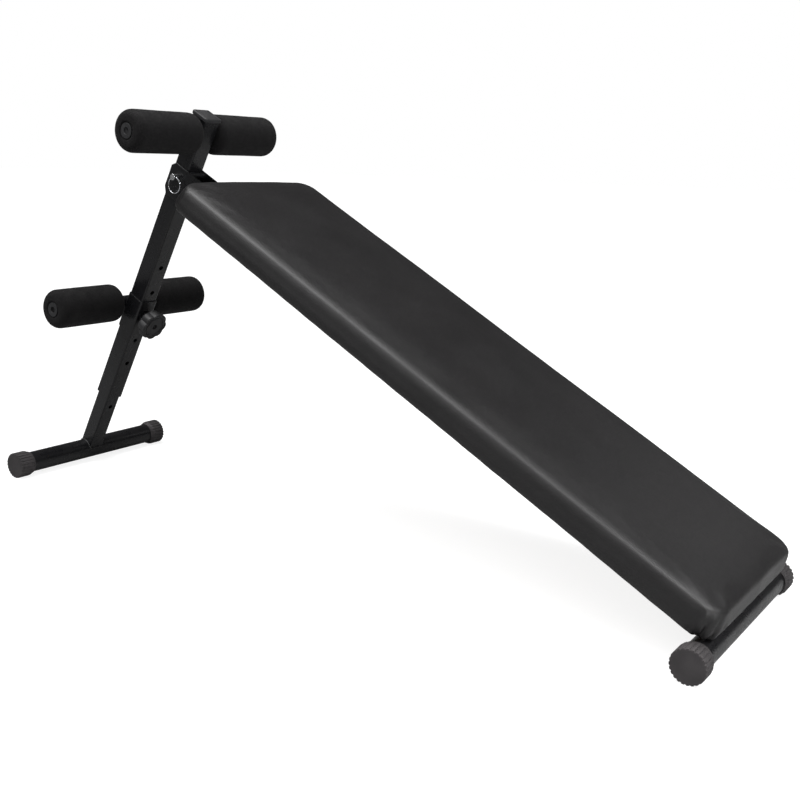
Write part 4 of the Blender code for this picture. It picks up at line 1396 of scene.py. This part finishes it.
def padBlank(low, high):
    # the foam before it is covered: round corners in plan and a rounded rim
    slack = padValues["slack"]
    size = high - low - Vector((2 * slack, 2 * slack, slack))
    blank = startCube((low + high) / 2 - Vector((0, 0, slack / 2)), size)
    edit(blank, "EDGE")
    pickEdges(blank, lambda a, b: abs(a.z - b.z) > 0.02)
    bpy.ops.mesh.bevel(offset=padValues["corner"], segments=12, affect="EDGES")
    pickEdges(blank, lambda a, b: min(a.z, b.z) > high.z - slack - 1e-4)
    bpy.ops.mesh.bevel(offset=padValues["edgeRound"], segments=6, affect="EDGES")
    done()
    return blank


def swell(obj, fixed):
    # cloth filled from inside, its lower part held where it is drawn tight over the board
    before = [vert.co.copy() for vert in obj.data.vertices]
    group = obj.vertex_groups.new(name="tacked")
    for vert in obj.data.vertices:
        group.add([vert.index], fixed(vert.co), "REPLACE")
    cloth = obj.modifiers.new("fill", "CLOTH")
    cloth.settings.vertex_group_mass = group.name
    cloth.settings.use_pressure = True
    cloth.settings.uniform_pressure_force = padValues["pressure"]
    cloth.settings.tension_stiffness = padValues["tension"]
    cloth.settings.bending_stiffness = padValues["bending"]
    cloth.settings.effector_weights.gravity = 0
    cloth.settings.quality = 4
    cloth.collision_settings.use_collision = False
    frames = padValues["fillFrames"]
    cloth.point_cache.frame_start = 1
    cloth.point_cache.frame_end = frames
    for number in range(1, frames + 1):
        bpy.context.scene.frame_set(number)
    filled = obj.evaluated_get(bpy.context.evaluated_depsgraph_get())
    after = [vert.co.copy() for vert in filled.data.vertices]
    obj.modifiers.remove(cloth)
    bpy.context.scene.frame_set(1)
    for vert, old, new in zip(obj.data.vertices, before, after):
        move = new - old
        if move.length > padValues["mostSwell"]:
            move *= padValues["mostSwell"] / move.length
        vert.co = old + move
    obj.vertex_groups.clear()


def aroundPad(co, low, high):
    # how far round the nearest corner a point is, from 0 to 1, or nothing on a straight side
    dx = abs(co.x - (low.x + high.x) / 2) - (high.x - low.x) / 2 + padValues["corner"]
    dy = abs(co.y) - high.y + padValues["corner"]
    return math.atan2(dy, dx) / (math.pi / 2) if dx > 0 and dy > 0 else None


def tailor(obj, low, high):
    # pleats gathered at the corners, the belly of the sides, and the pull of the staples along them
    height = high.z - low.z
    normals = [vert.normal.copy() for vert in obj.data.vertices]
    for vert, normal in zip(obj.data.vertices, normals):
        co = vert.co
        corner = aroundPad(co, low, high)
        up = min(1.0, max(0.0, (co.z - low.z) / height))
        outward = Vector((normal.x, normal.y, 0))
        onSide = min(1.0, outward.length * 1.2)
        if onSide > 0.2 and co.z > low.z + 0.0005:
            outward.normalize()
            co = co + outward * padValues["bulge"] * math.sin(math.pi * min(1.0, 0.15 + up)) * onSide
            if corner is not None:
                # folds run down and inwards, deepest at the bottom, and die out below the rim
                fade = max(0.0, 1 - up / padValues["pleatTop"]) ** 0.9
                lean = corner + 0.05 * math.sin(co.x * 900) * (1 - up)
                fold = abs(math.sin(lean * math.pi * padValues["pleats"] * 0.5)) ** 0.55
                share = math.sin(corner * math.pi) ** 0.5
                co = co - outward * padValues["pleatDepth"] * (1 - fold) * fade * share * onSide
                co = co + outward * padValues["fullness"] * fade * share * onSide
            along = co.x if abs(outward.y) > 0.7 else co.y
            tug = 0.5 - 0.5 * math.cos(2 * math.pi * along / padValues["staplePitch"])
            co = co - outward * padValues["pull"] * tug * (1 - up) ** 2 * onSide
        slow = noise.noise(Vector((co.x * 7, co.y * 13, co.z * 20)))
        quick = noise.noise(Vector((co.x * 26 + 5, co.y * 30, co.z * 40)))
        vert.co = co + normal * padValues["wave"] * (slow * 0.9 + quick * 0.3)


def crown(obj, low, high):
    for vert in obj.data.vertices:
        co = vert.co
        across = min(1.0, abs(co.y) / high.y)
        toEnd = min(co.x - low.x, high.x - co.x)
        dome = (1 - across ** 3) * min(1.0, padValues["crownEnds"] + max(0.0, toEnd) / padValues["crownRun"])
        co.z += padValues["crown"] * dome * max(0.0, (co.z - low.z) / (high.z - low.z)) ** 2


def keepWithin(obj, low, high):
    # the underside stays flat on the board, and the rest near the pad's plain outline
    loose = padValues["looseness"]
    for vert in obj.data.vertices:
        vert.co.z = min(high.z + loose, max(low.z, vert.co.z))
        vert.co.y = min(high.y + loose / 2, max(low.y - loose / 2, vert.co.y))
        vert.co.x = min(high.x + loose / 4, max(low.x - loose / 4, vert.co.x))


def pocketForBoard():
    # the room that the board takes up inside the cover, and the mouth in the cover's folded hem
    low, high = benchBox("pad_board")
    gap = padValues["boardGap"]
    hem = padValues["hem"]
    size = high - low
    centre = ((low.x + high.x) / 2, 0, (low.z + high.z) / 2)
    room = startCube(centre, (size.x + gap, size.y + gap, size.z + 2 * gap))
    underside = (centre[0], 0, benchBox("pad_cover")[0].z)
    mouth = startCube(underside, (size.x - 2 * hem, size.y - 2 * hem, 0.006))
    for block, corner in ((room, padValues["boardCorner"]), (mouth, padValues["hemCorner"])):
        edit(block, "EDGE")
        pickEdges(block, lambda a, b: abs(a.z - b.z) > 0.004)
        bpy.ops.mesh.bevel(offset=corner, segments=10, affect="EDGES")
        done()
    return room, mouth


def makePad():
    low, high = benchBox("pad_cover")
    pad = padBlank(low, high)
    evenMesh(pad, padValues["voxel"])
    crown(pad, low, high)
    tackedTo = benchBox("pad_board")[1].z + padValues["tackedAbove"]
    swell(pad, lambda co: min(1.0, max(0.0, (tackedTo - co.z) / 0.008)))
    print("pad filled")
    refine(pad)
    tailor(pad, low, high)
    keepWithin(pad, low, high)
    for block in pocketForBoard():
        subtract(pad, block, "MANIFOLD")
    finish(pad, "padCushion", "bench_frame", "vinyl", ["pad_cover", "pad_foam"], smooth=60, outwards=False)


makePad()
print("pad made")


# staples that hold the hem to the board

stapleValues = {
    "crown": 0.0100,
    "wire": 0.0007,
    "inset": 0.012,
    "acrossCount": 5,
    "cornerAngles": (20, 45, 70),
    "wobble": 0.25,
}


def makeStaples():
    low, high = benchBox("pad_cover")
    random.seed(4)
    inset = stapleValues["inset"]
    corner = padValues["corner"]
    places = []
    alongCount = int((high.x - low.x - 2 * corner) / padValues["staplePitch"])
    for number in range(alongCount + 1):
        x = low.x + corner + (high.x - low.x - 2 * corner) * number / alongCount
        for side in (-1, 1):
            places.append((x, side * (high.y - inset), 0))
    acrossCount = stapleValues["acrossCount"]
    for number in range(acrossCount + 1):
        y = (high.y - corner) * (2 * number / acrossCount - 1)
        places.append((low.x + inset, y, math.pi / 2))
        places.append((high.x - inset, y, math.pi / 2))
    for sx in (-1, 1):
        for sy in (-1, 1):
            for angle in stapleValues["cornerAngles"]:
                turn = math.radians(angle)
                centreX = (low.x + high.x) / 2 + sx * ((high.x - low.x) / 2 - corner)
                reach = corner - inset
                x = centreX + sx * reach * math.cos(turn)
                y = sy * (high.y - corner + reach * math.sin(turn))
                places.append((x, y, sx * sy * (turn + math.pi / 2)))
    wire = stapleValues["wire"]
    staple = startCube((0, 0, 0), (stapleValues["crown"], wire, wire * 0.8))
    soften(staple, wire * 0.25, 2)
    staples = []
    for x, y, turn in places:
        copy = addObject("staple", staple.data.copy())
        wobble = stapleValues["wobble"]
        turned = Matrix.Rotation(turn + random.uniform(-wobble, wobble), 4, "Z")
        copy.data.transform(Matrix.Translation((x, y, low.z - wire * 0.25)) @ turned)
        staples.append(copy)
    bpy.data.objects.remove(staple)
    finish(joined(staples), "hemStaples", "bench_frame", "zinc", smooth=30)


makeStaples()
print("staples made;", len(pieceCount), "pieces in all")
